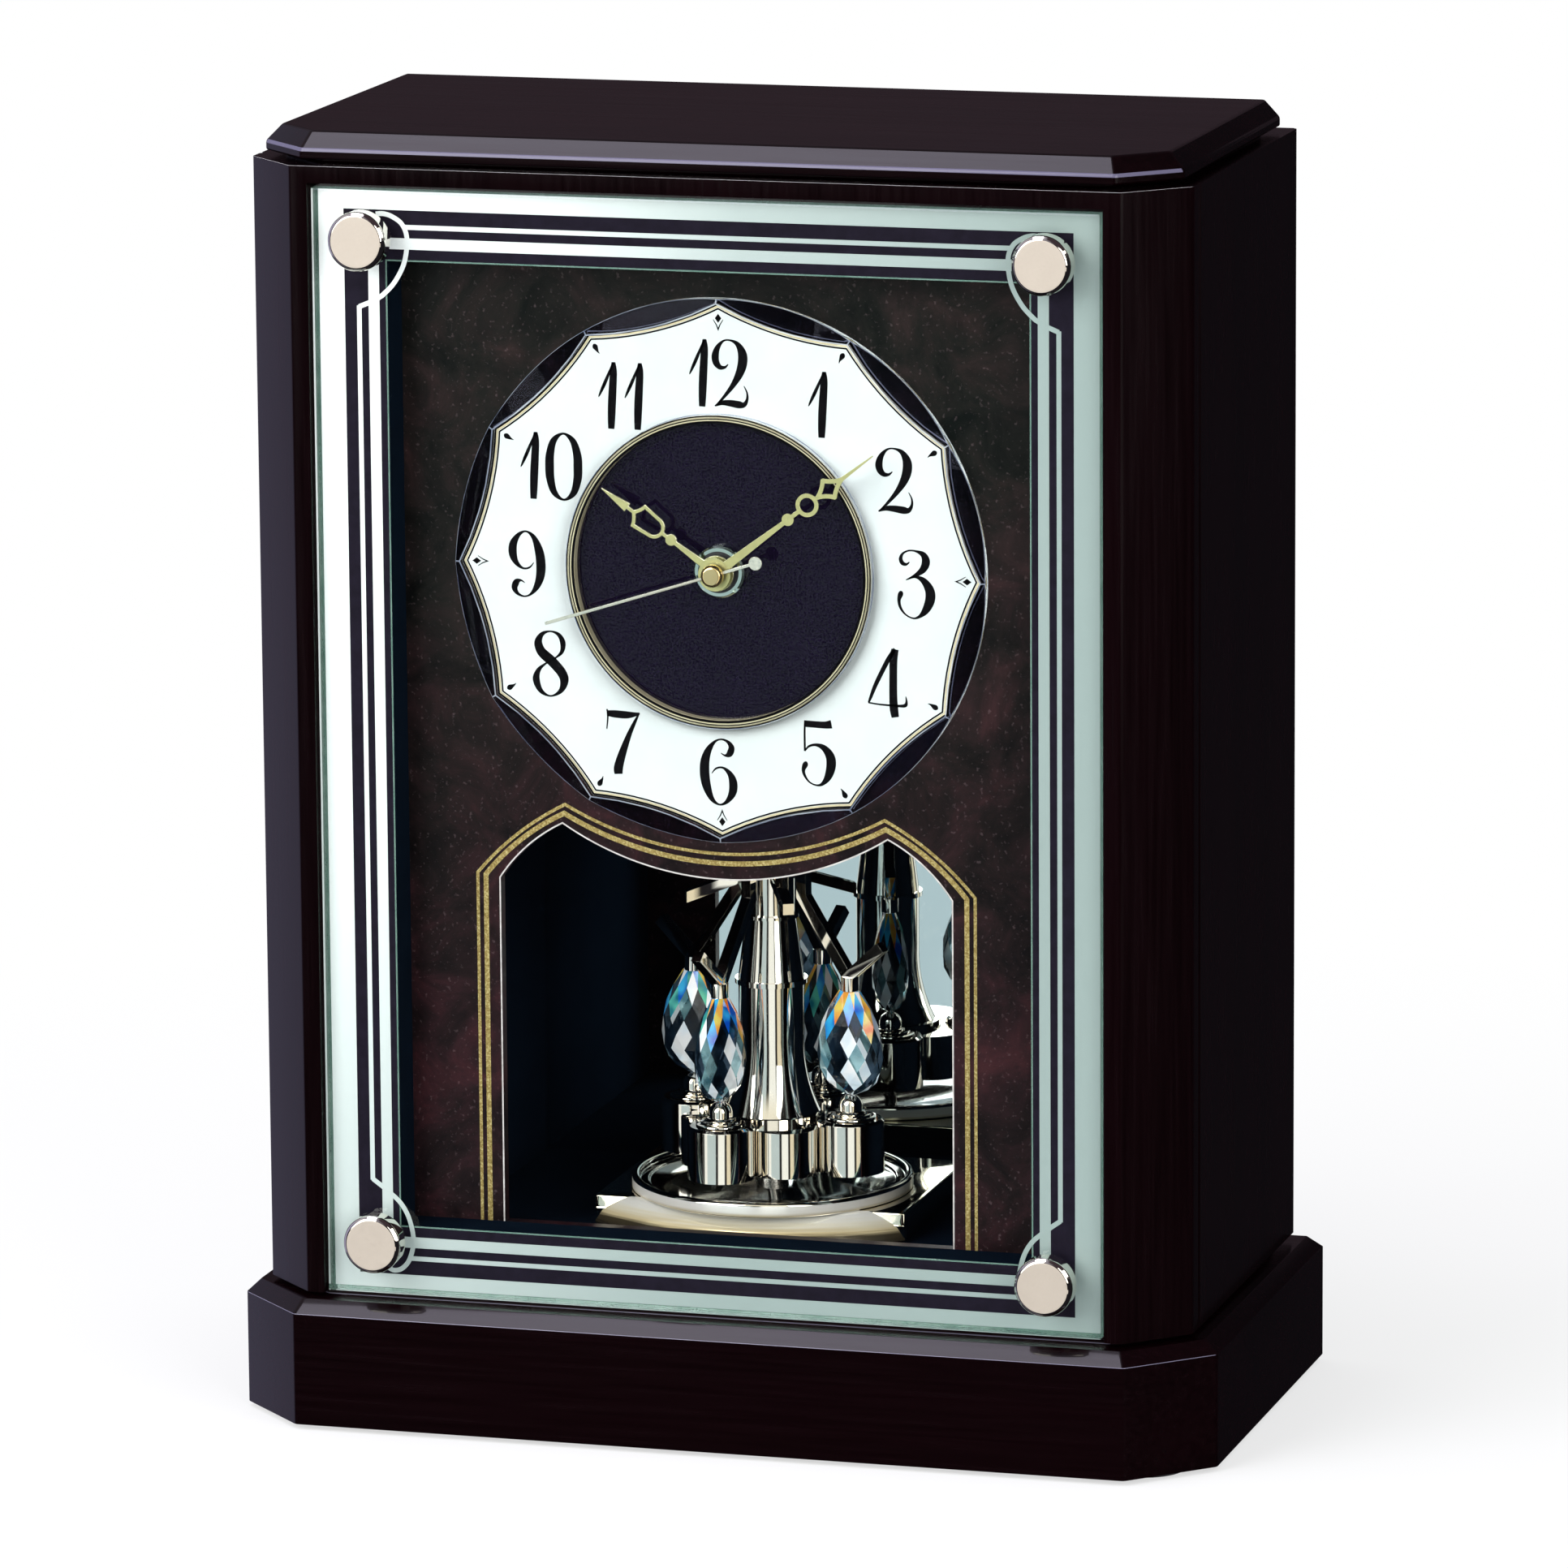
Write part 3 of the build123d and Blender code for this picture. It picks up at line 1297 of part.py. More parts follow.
# Column: flared foot and a waisted shaft
column_top_z = lobe_top_z + column_height
with BuildPart() as column:
    with BuildSketch(rotor_section(0)):
        with BuildLine():
            Polyline(
                (0, column_top_z),
                (0, lobe_top_z),
                (column_foot_radius, lobe_top_z),
                (column_foot_radius, lobe_top_z + column_foot_height),
                (column_base_radius, lobe_top_z + column_foot_height),
            )
            ThreePointArc(
                (column_base_radius, lobe_top_z + column_foot_height),
                (column_mid_radius, lobe_top_z + column_mid_rise),
                (column_waist_radius, lobe_top_z + column_waist_rise),
            )
            Polyline(
                (column_waist_radius, lobe_top_z + column_waist_rise),
                (column_waist_radius, column_top_z),
                (0, column_top_z),
            )
        make_face()
    revolve(axis=Axis((0, pendulum_y, 0), (0, 0, 1)))
column.part.label = "column"
export_step(column.part, "parts/column.step")

# Sleeve on the column: a ring, a cone and a smaller ring
sleeve_cone_z = column_top_z + sleeve_ring_height
sleeve_top_z = column_top_z + sleeve_ring_height + sleeve_height
with BuildPart() as column_sleeve:
    with BuildSketch(rotor_section(0)):
        with BuildLine():
            Polyline(
                (0, column_top_z),
                (sleeve_ring_radius, column_top_z),
                (sleeve_ring_radius, sleeve_cone_z),
                (sleeve_bottom_radius, sleeve_cone_z),
                (sleeve_top_radius, sleeve_top_z),
                (sleeve_top_ring_radius, sleeve_top_z),
                (sleeve_top_ring_radius, sleeve_top_z + sleeve_top_ring_height),
                (0, sleeve_top_z + sleeve_top_ring_height),
                close=True,
            )
        make_face()
    revolve(axis=Axis((0, pendulum_y, 0), (0, 0, 1)))
column_sleeve.part.label = "column_sleeve"
export_step(column_sleeve.part, "parts/column_sleeve.step")

# Crown and arms: caps on the crystals, bent bars to the crown, stubs and short upper arms
crown_z = sleeve_top_z + sleeve_top_ring_height
crown_top_z = crown_z + crown_height
cap_z = crystal_z + crystal_height
arm_z = cap_z + cap_height
with BuildPart() as rotor_arms:
    with BuildSketch(rotor_level(crown_z)):
        Circle(crown_radius)
    extrude(amount=crown_height)
    with BuildSketch(rotor_level(crown_top_z)):
        Circle(crown_disc_radius)
    extrude(amount=crown_disc_height)
    chamfer(rotor_arms.faces().sort_by(Axis.Z)[-1].edges(), crown_disc_height / 4)
    with BuildSketch(rotor_level(crown_top_z + crown_disc_height)):
        Circle(crown_knob_radius)
    extrude(amount=crown_knob_height)
    for k in range(crystal_count):
        angle = crystal_start_angle + k * crystal_step
        with BuildSketch(rotor_section(angle, -arm_width / 2)):
            with BuildLine():
                Polyline(
                    (crystal_circle + stub_reach, arm_z + stub_rise),
                    (crystal_circle, arm_z),
                    (arm_shoulder, arm_z + arm_bend_rise),
                    (arm_shoulder, crown_top_z),
                )
            trace(line_width=arm_width)
        extrude(amount=arm_width)
    for k in range(crystal_count):
        angle = crystal_start_angle + (2 * k + 1) * crystal_step / 2
        with BuildSketch(rotor_section(angle, -arm_width / 2)):
            Polygon(
                (0, crown_z + short_arm_rise + short_arm_slope),
                (short_arm_tip, crown_z + short_arm_rise),
                (short_arm_tip, crown_z + short_arm_rise - arm_width),
                (0, crown_z + short_arm_rise + short_arm_slope - arm_width),
                align=None,
            )
        extrude(amount=arm_width)
    with BuildSketch(rotor_level(cap_z)):
        with PolarLocations(crystal_circle, crystal_count, start_angle=crystal_start_angle):
            Circle(cap_radius)
    extrude(amount=cap_height)
rotor_arms.part.label = "rotor_arms"
export_step(rotor_arms.part, "parts/rotor_arms.step")

# Crystals: flat cut drops, wide across the radius. The corners of each level stand between
# those of the next, so that the sides are made of flat triangles
for k in range(crystal_count):
    turn = radians(crystal_start_angle + k * crystal_step)
    outward = (cos(turn), sin(turn), 0)
    x = crystal_circle * cos(turn)
    y = pendulum_y + crystal_circle * sin(turn)
    rows = []
    for level, wide in zip(crystal_level_shares, crystal_width_shares):
        place = Plane(origin=(x, y, crystal_z + level * crystal_height), x_dir=outward)
        row = []
        for n in range(crystal_sides):
            corner_turn = (2 * n + 1 + len(rows) % 2) * pi / crystal_sides
            row.append(place.from_local_coords((
                wide * crystal_width / 2 * cos(corner_turn),
                wide * crystal_thickness / 2 * sin(corner_turn),
                0,
            )))
        rows.append(row)
    facets = [Face(Wire.make_polygon(rows[0])), Face(Wire.make_polygon(rows[-1]))]
    for step in range(len(rows) - 1):
        # the first row of a pair is the one whose corners come first round the drop
        first, second = (rows[step], rows[step + 1]) if step % 2 == 0 else (rows[step + 1], rows[step])
        for n in range(crystal_sides):
            after = (n + 1) % crystal_sides
            facets.append(Face(Wire.make_polygon((first[n], first[after], second[n]))))
            facets.append(Face(Wire.make_polygon((second[n], second[after], first[after]))))
    with BuildPart() as crystal:
        add(Solid(Shell(facets)))
    crystal.part.label = f"crystal_{k + 1}"
    export_step(crystal.part, f"parts/crystal_{k + 1}.step")

# Rear door in the doorway, flush with the back panel
with BuildPart() as back_door:
    with BuildSketch(facing(body_back_y)):
        with Locations((0, door_z + door_height / 2)):
            Rectangle(door_width - 2 * door_gap, door_height - 2 * door_gap)
    extrude(amount=back_thickness)
    chamfer(back_door.faces().sort_by(Axis.Y)[-1].edges(), door_bevel)
back_door.part.label = "back_door"
export_step(back_door.part, "parts/back_door.step")

# Two hinges on the doorway's edge: the outer knuckles stay with the panel's leaf
hinge_x = (door_gap - door_width) / 2
hinge_y = body_back_y + hinge_knuckle_lift + hinge_knuckle_radius
hinge_low_z = door_z + hinge_inset
hinge_high_z = door_z + door_height - hinge_inset - hinge_length
knuckle_length = hinge_length / 3
leaf_start = hinge_knuckle_radius + hinge_knuckle_gap
leaf_y = body_back_y + hinge_leaf_thickness / 2
knuckles_of_leaf = {"hinge_fixed_leaves": (-1, (0, 2)), "hinge_door_leaves": (1, (1,))}
for leaf_name, (side, places) in knuckles_of_leaf.items():
    with BuildPart() as leaves:
        for low_z in (hinge_low_z, hinge_high_z):
            with BuildSketch(Plane.XY.offset(low_z)):
                with Locations((hinge_x + side * (leaf_start + hinge_leaf) / 2, leaf_y)):
                    Rectangle(hinge_leaf - leaf_start, hinge_leaf_thickness)
            extrude(amount=hinge_length)
            for place in places:
                knuckle_z = low_z + place * knuckle_length + hinge_knuckle_gap / 2
                with BuildSketch(Plane.XY.offset(knuckle_z)):
                    with Locations((hinge_x + side * leaf_start / 2, leaf_y)):
                        Rectangle(leaf_start, hinge_leaf_thickness)
                    with Locations((hinge_x, hinge_y)):
                        Circle(hinge_knuckle_radius)
                        Circle(hinge_pin_radius + hinge_pin_gap, mode=Mode.SUBTRACT)
                extrude(amount=knuckle_length - hinge_knuckle_gap)
    leaves.part.label = leaf_name
    export_step(leaves.part, f"parts/{leaf_name}.step")

with BuildPart() as hinge_pins:
    for low_z in (hinge_low_z, hinge_high_z):
        with BuildSketch(Plane.XY.offset(low_z)):
            with Locations((hinge_x, hinge_y)):
                Circle(hinge_pin_radius)
        extrude(amount=hinge_length)
hinge_pins.part.label = "hinge_pins"
export_step(hinge_pins.part, "parts/hinge_pins.step")

# Round pull on the door, and the stop block that the door closes against
door_middle_z = door_z + door_height / 2
pull_x = door_width / 2 - door_gap - door_knob_inset
neck_y = body_back_y + door_knob_neck_height
with BuildPart() as door_knob:
    with BuildSketch(facing(body_back_y)):
        with Locations((pull_x, door_middle_z)):
            Circle(door_knob_neck)
    extrude(amount=-door_knob_neck_height)
    with BuildSketch(facing(neck_y)):
        with Locations((pull_x, door_middle_z)):
            Circle(door_knob_radius)
    extrude(amount=-door_knob_height)
    fillet(door_knob.faces().sort_by(Axis.Y)[-1].edges(), door_knob_height / 3)
door_knob.part.label = "door_knob"
export_step(door_knob.part, "parts/door_knob.step")

with BuildPart() as door_catch:
    with BuildSketch(Plane.XY.offset(door_middle_z - catch_height / 2)):
        with BuildLine():
            Polyline(
                (door_width / 2, back_y),
                (door_width / 2 + catch_width, back_y),
                (door_width / 2 + catch_width, back_y - catch_depth),
                (door_width / 2 - catch_lap, back_y - catch_depth),
                (door_width / 2 - catch_lap, back_y - catch_gap),
                (door_width / 2, back_y - catch_gap),
                close=True,
            )
        make_face()
    extrude(amount=catch_height)
door_catch.part.label = "door_catch"
export_step(door_catch.part, "parts/door_catch.step")
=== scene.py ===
import bmesh
import bpy
import json
from math import asin, atan2, cos, hypot, pi, radians, sin
from mathutils import Matrix, Vector


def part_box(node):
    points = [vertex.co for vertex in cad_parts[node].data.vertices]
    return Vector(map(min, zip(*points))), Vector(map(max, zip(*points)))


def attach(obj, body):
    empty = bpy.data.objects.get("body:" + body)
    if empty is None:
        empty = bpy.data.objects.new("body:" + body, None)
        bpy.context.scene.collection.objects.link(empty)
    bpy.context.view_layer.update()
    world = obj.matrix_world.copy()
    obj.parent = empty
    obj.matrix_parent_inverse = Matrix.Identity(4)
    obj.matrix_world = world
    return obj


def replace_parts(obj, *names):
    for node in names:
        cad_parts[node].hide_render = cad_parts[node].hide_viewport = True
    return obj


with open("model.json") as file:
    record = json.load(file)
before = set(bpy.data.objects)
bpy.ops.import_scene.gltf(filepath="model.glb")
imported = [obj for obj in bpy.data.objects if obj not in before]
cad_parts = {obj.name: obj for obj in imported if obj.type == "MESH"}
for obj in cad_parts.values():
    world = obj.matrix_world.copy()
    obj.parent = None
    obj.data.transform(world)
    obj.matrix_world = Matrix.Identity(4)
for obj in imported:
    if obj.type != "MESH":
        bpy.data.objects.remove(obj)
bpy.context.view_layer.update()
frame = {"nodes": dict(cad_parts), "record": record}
nodes = frame["nodes"]
record = frame["record"]
bodies = record["behaviour"]["bodies"]
carrier = {node: body for body, names in bodies.items() for node in names}
MM = 0.001
NONE, FULL = (0, 0, 0), (1, 1, 1)


# -------------------------------- node helpers

class Shader:
    """The node tree of a material or a world, under construction."""

    def __init__(self, owner):
        owner.use_nodes = True
        self.tree = owner.node_tree
        self.tree.nodes.clear()

    def add(self, kind, **settings):
        node = self.tree.nodes.new("ShaderNode" + kind)
        for key, value in settings.items():
            setattr(node, key, value)
        return node

    def join(self, value, socket):
        """Puts a number, a colour or the output of another node into a socket."""
        if isinstance(value, (float, int)):
            socket.default_value = value
        elif isinstance(value, tuple):
            socket.default_value = (*value, 1)
        else:
            self.tree.links.new(value, socket)

    def math(self, operation, *values, clamp=False):
        node = self.add("Math", operation=operation, use_clamp=clamp)
        for value, socket in zip(values, node.inputs):
            self.join(value, socket)
        return node.outputs[0]

    def blend(self, factor, a, b, mode="MIX"):
        """Colour a where the factor is 0, colour b where it is 1."""
        node = self.add("Mix", data_type="RGBA", blend_type=mode)
        for value, socket in zip((factor, a, b), (node.inputs[0], node.inputs[6], node.inputs[7])):
            self.join(value, socket)
        return node.outputs[2]

    def mix(self, factor, a, b):
        """Shader a where the factor is 0, shader b where it is 1."""
        node = self.add("MixShader")
        for value, socket in zip((factor, a, b), node.inputs):
            self.join(value, socket)
        return node.outputs[0]

    def ramp(self, source, stops):
        """Colours over a 0..1 source: stops are (place, (r, g, b))."""
        node = self.add("ValToRGB")
        ramp = node.color_ramp
        while len(ramp.elements) < len(stops):
            ramp.elements.new(0.5)
        for element, (at, colour) in zip(ramp.elements, stops):
            element.position = at
            element.color = (*colour, 1)
        self.join(source, node.inputs["Fac"])
        return node.outputs["Color"]

    def span(self, source, low, high, lowest=0.0, highest=1.0, curve="LINEAR"):
        """The source from low to high, mapped to lowest up to highest."""
        node = self.add("MapRange", interpolation_type=curve)
        for value, name in ((source, "Value"), (low, "From Min"), (high, "From Max"),
                            (lowest, "To Min"), (highest, "To Max")):
            self.join(value, node.inputs[name])
        return node.outputs["Result"]


class Look(Shader):
    """A material with a Principled surface and textures in the row frame."""

    def __init__(self, name, **values):
        self.mat = bpy.data.materials.new(name)
        super().__init__(self.mat)
        self.out = self.add("OutputMaterial")
        self.skin = self.add("BsdfPrincipled")
        self.join(self.skin.outputs[0], self.out.inputs[0])
        for key, value in values.items():
            self.skin.inputs[key.replace("_", " ")].default_value = value
        self.where = self.add("TexCoord").outputs["Object"]

    def place(self, scale=(1, 1, 1)):
        """Object coordinates, which are the row frame in metres, scaled per axis."""
        mapping = self.add("Mapping")
        mapping.inputs["Scale"].default_value = scale
        self.join(self.where, mapping.inputs["Vector"])
        return mapping.outputs["Vector"]

    def axis(self, name):
        split = self.add("SeparateXYZ")
        self.join(self.where, split.inputs[0])
        return split.outputs[name]

    def noise(self, scale, detail=4.0, stretch=(1, 1, 1), rough=0.55, twist=0.0):
        node = self.add("TexNoise")
        for value, name in ((scale, "Scale"), (detail, "Detail"), (rough, "Roughness"),
                            (twist, "Distortion"), (self.place(stretch), "Vector")):
            self.join(value, node.inputs[name])
        return node.outputs["Fac"]

    def colour(self, source):
        self.join(source, self.skin.inputs["Base Color"])

    def mottle(self, source, *stops):
        """The base colour, as a ramp over a texture."""
        self.colour(self.ramp(source, stops))

    def rough(self, source):
        self.join(source, self.skin.inputs["Roughness"])

    def bump(self, source, depth, strength=1.0, skin=None):
        node = self.add("Bump")
        for value, name in ((depth, "Distance"), (strength, "Strength"), (source, "Height")):
            self.join(value, node.inputs[name])
        self.join(node.outputs["Normal"], (skin or self.skin).inputs["Normal"])

    def clear_shadow(self, surface):
        """Light passes the piece without a shadow."""
        shadow = self.add("LightPath").outputs["Is Shadow Ray"]
        clear = self.add("BsdfTransparent").outputs[0]
        self.join(self.mix(shadow, surface, clear), self.out.inputs[0])


# painted highlight of the rounded edges, a pale line by height: base, top of the body's front, lid
PAINTED_EDGE_LIGHT = [(0.30, (0.15, 0.14, 0.20)), (0.80, (0.15, 0.14, 0.20)), (0.90, (1.0, 0.97, 1.0)),
              (0.962, (1.0, 0.97, 1.0)), (0.966, (0.11, 0.10, 0.16))]
ACROSS_GRAIN, ALONG_GRAIN = 900.0, 25.0


def lacquer(name, along, dark, light, gloss=0.22):
    """Stained and lacquered wood, its fine grain running along one axis."""
    look = Look(name, Specular_IOR_Level=0.14, Coat_Weight=0.35, Coat_Roughness=0.06)
    stretch = tuple(ALONG_GRAIN if axis == along else ACROSS_GRAIN for axis in "xyz")
    fine = look.noise(1.0, 5.0, stretch, 0.6)
    broad = look.noise(1.0, 3.0, tuple(v / 12 for v in stretch), 0.5)
    wood = look.ramp(look.blend(0.45, fine, broad), [(0.3, dark), (0.62, light), (0.8, dark)])
    # painted highlight: the rounded upper front edges get a pale line, by the way they face
    facing = look.add("SeparateXYZ")
    look.join(look.add("NewGeometry").outputs["Normal"], facing.inputs[0])
    facing_y, facing_z = facing.outputs["Y"], facing.outputs["Z"]
    rising = look.ramp(facing_z, [(0.14, NONE), (0.26, FULL), (0.50, FULL), (0.60, NONE)])
    glint = look.math("MULTIPLY", rising, look.span(facing_y, -0.6, -0.5, 1.0, 0.0))
    # and a painted highlight on the steeper edge under the lid, too
    under_lid = look.ramp(look.span(look.axis("Z"), 0.2, 0.25),
                          [(0.70, NONE), (0.72, FULL), (0.81, FULL), (0.82, NONE)])
    turned = look.math("MULTIPLY", under_lid, look.span(facing_z, 0.4, 0.5))
    forward = look.math("MULTIPLY", turned, look.span(facing_y, -0.5, -0.2, 1.0, 0.0))
    # the painted highlight's colour, by height, blended over the wood where the edge masks are on
    painted_edge_highlight = look.ramp(look.span(look.axis("Z"), 0.0, 0.25), PAINTED_EDGE_LIGHT)
    look.colour(look.blend(look.math("MAXIMUM", glint, forward), wood, painted_edge_highlight))
    look.rough(look.span(fine, 0.3, 0.8, gloss - 0.04, gloss + 0.1))
    look.bump(fine, 0.00002, 0.35)
    return look.mat


def metal(name, colour, gloss=0.08, tint=None, grain=1600.0, lift=0.000004, metallic=1.0):
    """Polished or satin metal with faint unevenness."""
    look = Look(name, Metallic=metallic)
    look.mottle(look.noise(grain / 10, 3.0), (0.25, tint or tuple(c * 0.9 for c in colour)), (0.75, colour))
    look.rough(look.span(look.noise(grain, 2.0), 0.2, 0.8, gloss * 0.75, gloss * 1.3))
    look.bump(look.noise(grain / 4, 2.0), lift, 0.4)
    return look.mat


def plastic(name, colour, gloss=0.4, grain=2500.0, lift=0.00001, specular=0.5):
    look = Look(name, Specular_IOR_Level=specular)
    look.mottle(look.noise(grain / 20, 3.0), (0.3, tuple(c * 0.85 for c in colour)), (0.7, colour))
    look.rough(look.span(look.noise(grain, 2.0), 0.2, 0.8, gloss - 0.06, gloss + 0.08))
    look.bump(look.noise(grain, 2.0), lift, 0.3)
    return look.mat


def banded(name, low, high, *stops):
    """Metal with a painted reflection, its tone running through stops from one height in mm to another."""
    look = Look(name, Metallic=0.45, Roughness=0.18)
    level = look.span(look.axis("Z"), low * MM, high * MM)
    streak = look.noise(1.0, 3.0, (60, 60, 2500), 0.5)
    look.mottle(look.math("MULTIPLY_ADD", streak, 0.3, level), *stops)
    look.bump(streak, 0.00002, 0.4)
    return look.mat


def mottled(name, texture, stops, lift=None, **values):
    """A surface whose tones follow one texture; lift is that texture's (depth, strength) as relief."""
    look = Look(name, **values)
    cloud = look.noise(*texture)
    look.mottle(cloud, *stops)
    if lift:
        look.bump(cloud, *lift)
    return look.mat


def glass(name, texture, stops, shine=FULL, **values):
    """Solid clear glass without a shadow; shine tints its reflections."""
    look = Look(name, **values)
    look.mottle(look.noise(*texture), *stops)
    look.join(shine, look.skin.inputs["Specular Tint"])
    look.clear_shadow(look.skin.outputs[0])
    return look.mat


def pane(name, tint, index):
    """Thin clear glass: what is behind shows straight through, with a faint reflection."""
    look = Look(name)
    look.tree.nodes.remove(look.skin)
    behind = look.add("BsdfTransparent")
    look.join(tint, behind.inputs["Color"])
    shine = look.add("BsdfGlossy")
    look.join(0.0, shine.inputs["Roughness"])
    look.bump(look.noise(60.0, 2.0), 0.000002, 0.1, shine)
    rim = look.add("Fresnel")
    look.join(index, rim.inputs["IOR"])
    look.clear_shadow(look.mix(rim.outputs[0], behind.outputs[0], shine.outputs[0]))
    return look.mat


# -------------------------------- materials

WINE_DARK, WINE_LIGHT = (0.0012, 0.0002, 0.0004), (0.0036, 0.0004, 0.0010)
wood_level = lacquer("lacquer_level", "x", WINE_DARK, WINE_LIGHT)
wood_upright = lacquer("lacquer_upright", "z", WINE_DARK, WINE_LIGHT)
wood_board = lacquer("stained_board", "z", (0.022, 0.010, 0.006), (0.060, 0.028, 0.016), 0.5)

felt = mottled("felt_pad", (3500.0, 6.0), [(0.3, (0.012, 0.012, 0.014)), (0.7, (0.045, 0.045, 0.05))],
               (0.0002, 0.8), Roughness=0.95, Sheen_Weight=0.4)
gold_ink = mottled("gold_ink", (2600.0, 3.0), [(0.3, (0.20, 0.13, 0.03)), (0.52, (0.38, 0.28, 0.09)),
                                               (0.7, (0.62, 0.52, 0.24))],
                   (0.00002, 0.5), Metallic=0.55, Roughness=0.42)
ink = mottled("black_ink", (900.0, 2.0), [(0.3, (0.0015, 0.0015, 0.002)), (0.7, (0.004, 0.004, 0.005))],
              Roughness=0.6, Specular_IOR_Level=0.03)
pale_line = mottled("pale_line", (700.0, 2.0), [(0.3, (0.50, 0.46, 0.44)), (0.7, (0.72, 0.68, 0.66))],
                    Metallic=0.2, Roughness=0.4)
print_dark = mottled("print_dark", (500.0, 3.0), [(0.3, (0.0085, 0.0068, 0.0125)),
                                                  (0.7, (0.0125, 0.0100, 0.0190))],
                     Roughness=0.5, Specular_IOR_Level=0.04)
mirror = mottled("mirror_silver", (20.0, 2.0), [(0.3, (0.74, 0.80, 0.81)), (0.7, (0.78, 0.84, 0.85))],
                 Metallic=1.0, Roughness=0.015)

steel = metal("screw_steel", (0.62, 0.60, 0.58), 0.25)
knob_metal = metal("satin_champagne", (0.52, 0.46, 0.385), 0.5, (0.49, 0.43, 0.36), metallic=0.35)
knob_rim = metal("polished_champagne", (0.90, 0.86, 0.78), 0.05)
gilt = metal("gilt_ring", (0.80, 0.73, 0.50), 0.22, (0.66, 0.58, 0.36), metallic=0.5)
# painted reflections by height: the dish's outer wall goes from pale gold to white; the lip from painted
# shade at its foot through gold to white at the top
rim_painted_reflection = banded("painted_rim_reflection", 41.3, 44.0, (0.2, (0.62, 0.52, 0.32)), (0.45, (0.98, 0.94, 0.86)),
                  (1.0, (1.0, 0.98, 0.95)))
lip_painted_reflection = banded("painted_lip_reflection", 35.5, 41.5, (0.15, (0.02, 0.018, 0.014)), (0.5, (0.07, 0.055, 0.03)),
                  (0.62, (0.80, 0.66, 0.38)), (0.85, (1.0, 0.94, 0.76)), (1.0, (1.0, 0.98, 0.9)))
# chrome darkened as a painted dark reflection, for the dish
dish_painted_dark = metal("dish_chrome", (0.17, 0.16, 0.14), 0.06, (0.14, 0.13, 0.115), 900.0, 0.000003)
hand_gold = metal("olive_gold", (0.56, 0.54, 0.26), 0.38, (0.50, 0.48, 0.22))
# paler gold for the hands' bevels: a polished edge with a painted highlight
hand_edge_polish_and_highlight = metal("pale_gold_edge", (0.92, 0.90, 0.68), 0.22)
second_silver = metal("silver_gold", (0.80, 0.78, 0.66), 0.3)
boss_gold = metal("boss_gold", (0.86, 0.66, 0.34), 0.12, (0.80, 0.58, 0.28))
nut_chrome = metal("green_chrome", (0.62, 0.70, 0.64), 0.14, (0.50, 0.60, 0.54))
chrome = metal("champagne_chrome", (0.90, 0.86, 0.79), 0.045, (0.87, 0.82, 0.74), 900.0, 0.000003)
stage_chrome = metal("stage_chrome", (0.86, 0.80, 0.66), 0.05, (0.82, 0.74, 0.58), 900.0, 0.000004)
brass = metal("gear_brass", (0.74, 0.56, 0.26), 0.22)
contact = metal("contact_nickel", (0.66, 0.64, 0.60), 0.25)
magnet = metal("magnet_nickel", (0.50, 0.50, 0.51), 0.3)

copper_look = Look("copper_winding", Metallic=0.9, Roughness=0.32)
turns = copper_look.add("TexWave", wave_type="BANDS", bands_direction="X")
copper_look.join(500.0, turns.inputs["Scale"])
copper_look.join(copper_look.place(), turns.inputs["Vector"])
copper_look.mottle(turns.outputs["Fac"], (0.2, (0.30, 0.09, 0.03)), (0.8, (0.75, 0.32, 0.14)))
copper_look.bump(turns.outputs["Fac"], 0.0001, 0.5)
copper = copper_look.mat

white_case = plastic("movement_black", (0.018, 0.018, 0.02), 0.42)
gear_white = plastic("gear_white", (0.74, 0.74, 0.70), 0.38)
battery = plastic("battery_jacket", (0.05, 0.09, 0.16), 0.3, 900.0)
dark_panel = plastic("dark_panel", (0.0040, 0.0085, 0.0160), 0.55, 1800.0, 0.00002, 0.0)
center_dark = plastic("center_disc", (0.0055, 0.0034, 0.0120), 0.0, 3000.0, 0.000002, 0.25)

circuit_look = Look("circuit_board", Roughness=0.35)
tracks = circuit_look.add("TexBrick")
for value, socket in ((320.0, "Scale"), ((0.006, 0.09, 0.035), "Color1"), ((0.01, 0.13, 0.05), "Color2"),
                      ((0.16, 0.22, 0.07), "Mortar"), (circuit_look.place(), "Vector")):
    circuit_look.join(value, tracks.inputs[socket])
circuit_look.colour(tracks.outputs["Color"])
circuit = circuit_look.mat

# Dark burl under clear lacquer: greenish black at the top, redder below
burl_look = Look("burl", Specular_IOR_Level=0.08)
cloud = burl_look.noise(75.0, 8.0, (1, 1, 1), 0.7, 0.8)
veil = burl_look.noise(15.0, 4.0, (1, 1, 0.8), 0.5, 0.6)
eyes = burl_look.add("TexVoronoi", feature="SMOOTH_F1")
burl_look.join(170.0, eyes.inputs["Scale"])
burl_look.join(burl_look.place(), eyes.inputs["Vector"])
height = burl_look.span(burl_look.axis("Z"), 0.045, 0.235)
brown = burl_look.ramp(cloud, [(0.34, (0.0042, 0.0024, 0.0030)), (0.46, (0.0120, 0.0058, 0.0066)),
                               (0.54, (0.021, 0.0080, 0.0100)), (0.68, (0.043, 0.0120, 0.0150))])
night = burl_look.ramp(cloud, [(0.34, (0.0022, 0.0034, 0.0028)), (0.47, (0.0080, 0.0080, 0.0068)),
                               (0.57, (0.0150, 0.0110, 0.0100)), (0.70, (0.030, 0.0170, 0.0165))])
upper = burl_look.math("MULTIPLY_ADD", height, 1.35, burl_look.span(veil, 0.35, 0.7, -0.4, 0.25), clamp=True)
eye = burl_look.span(eyes.outputs["Distance"], 0.0, 0.45, 0.45, 0.0)
tone = burl_look.blend(eye, burl_look.blend(upper, brown, night), (0.004, 0.003, 0.003))
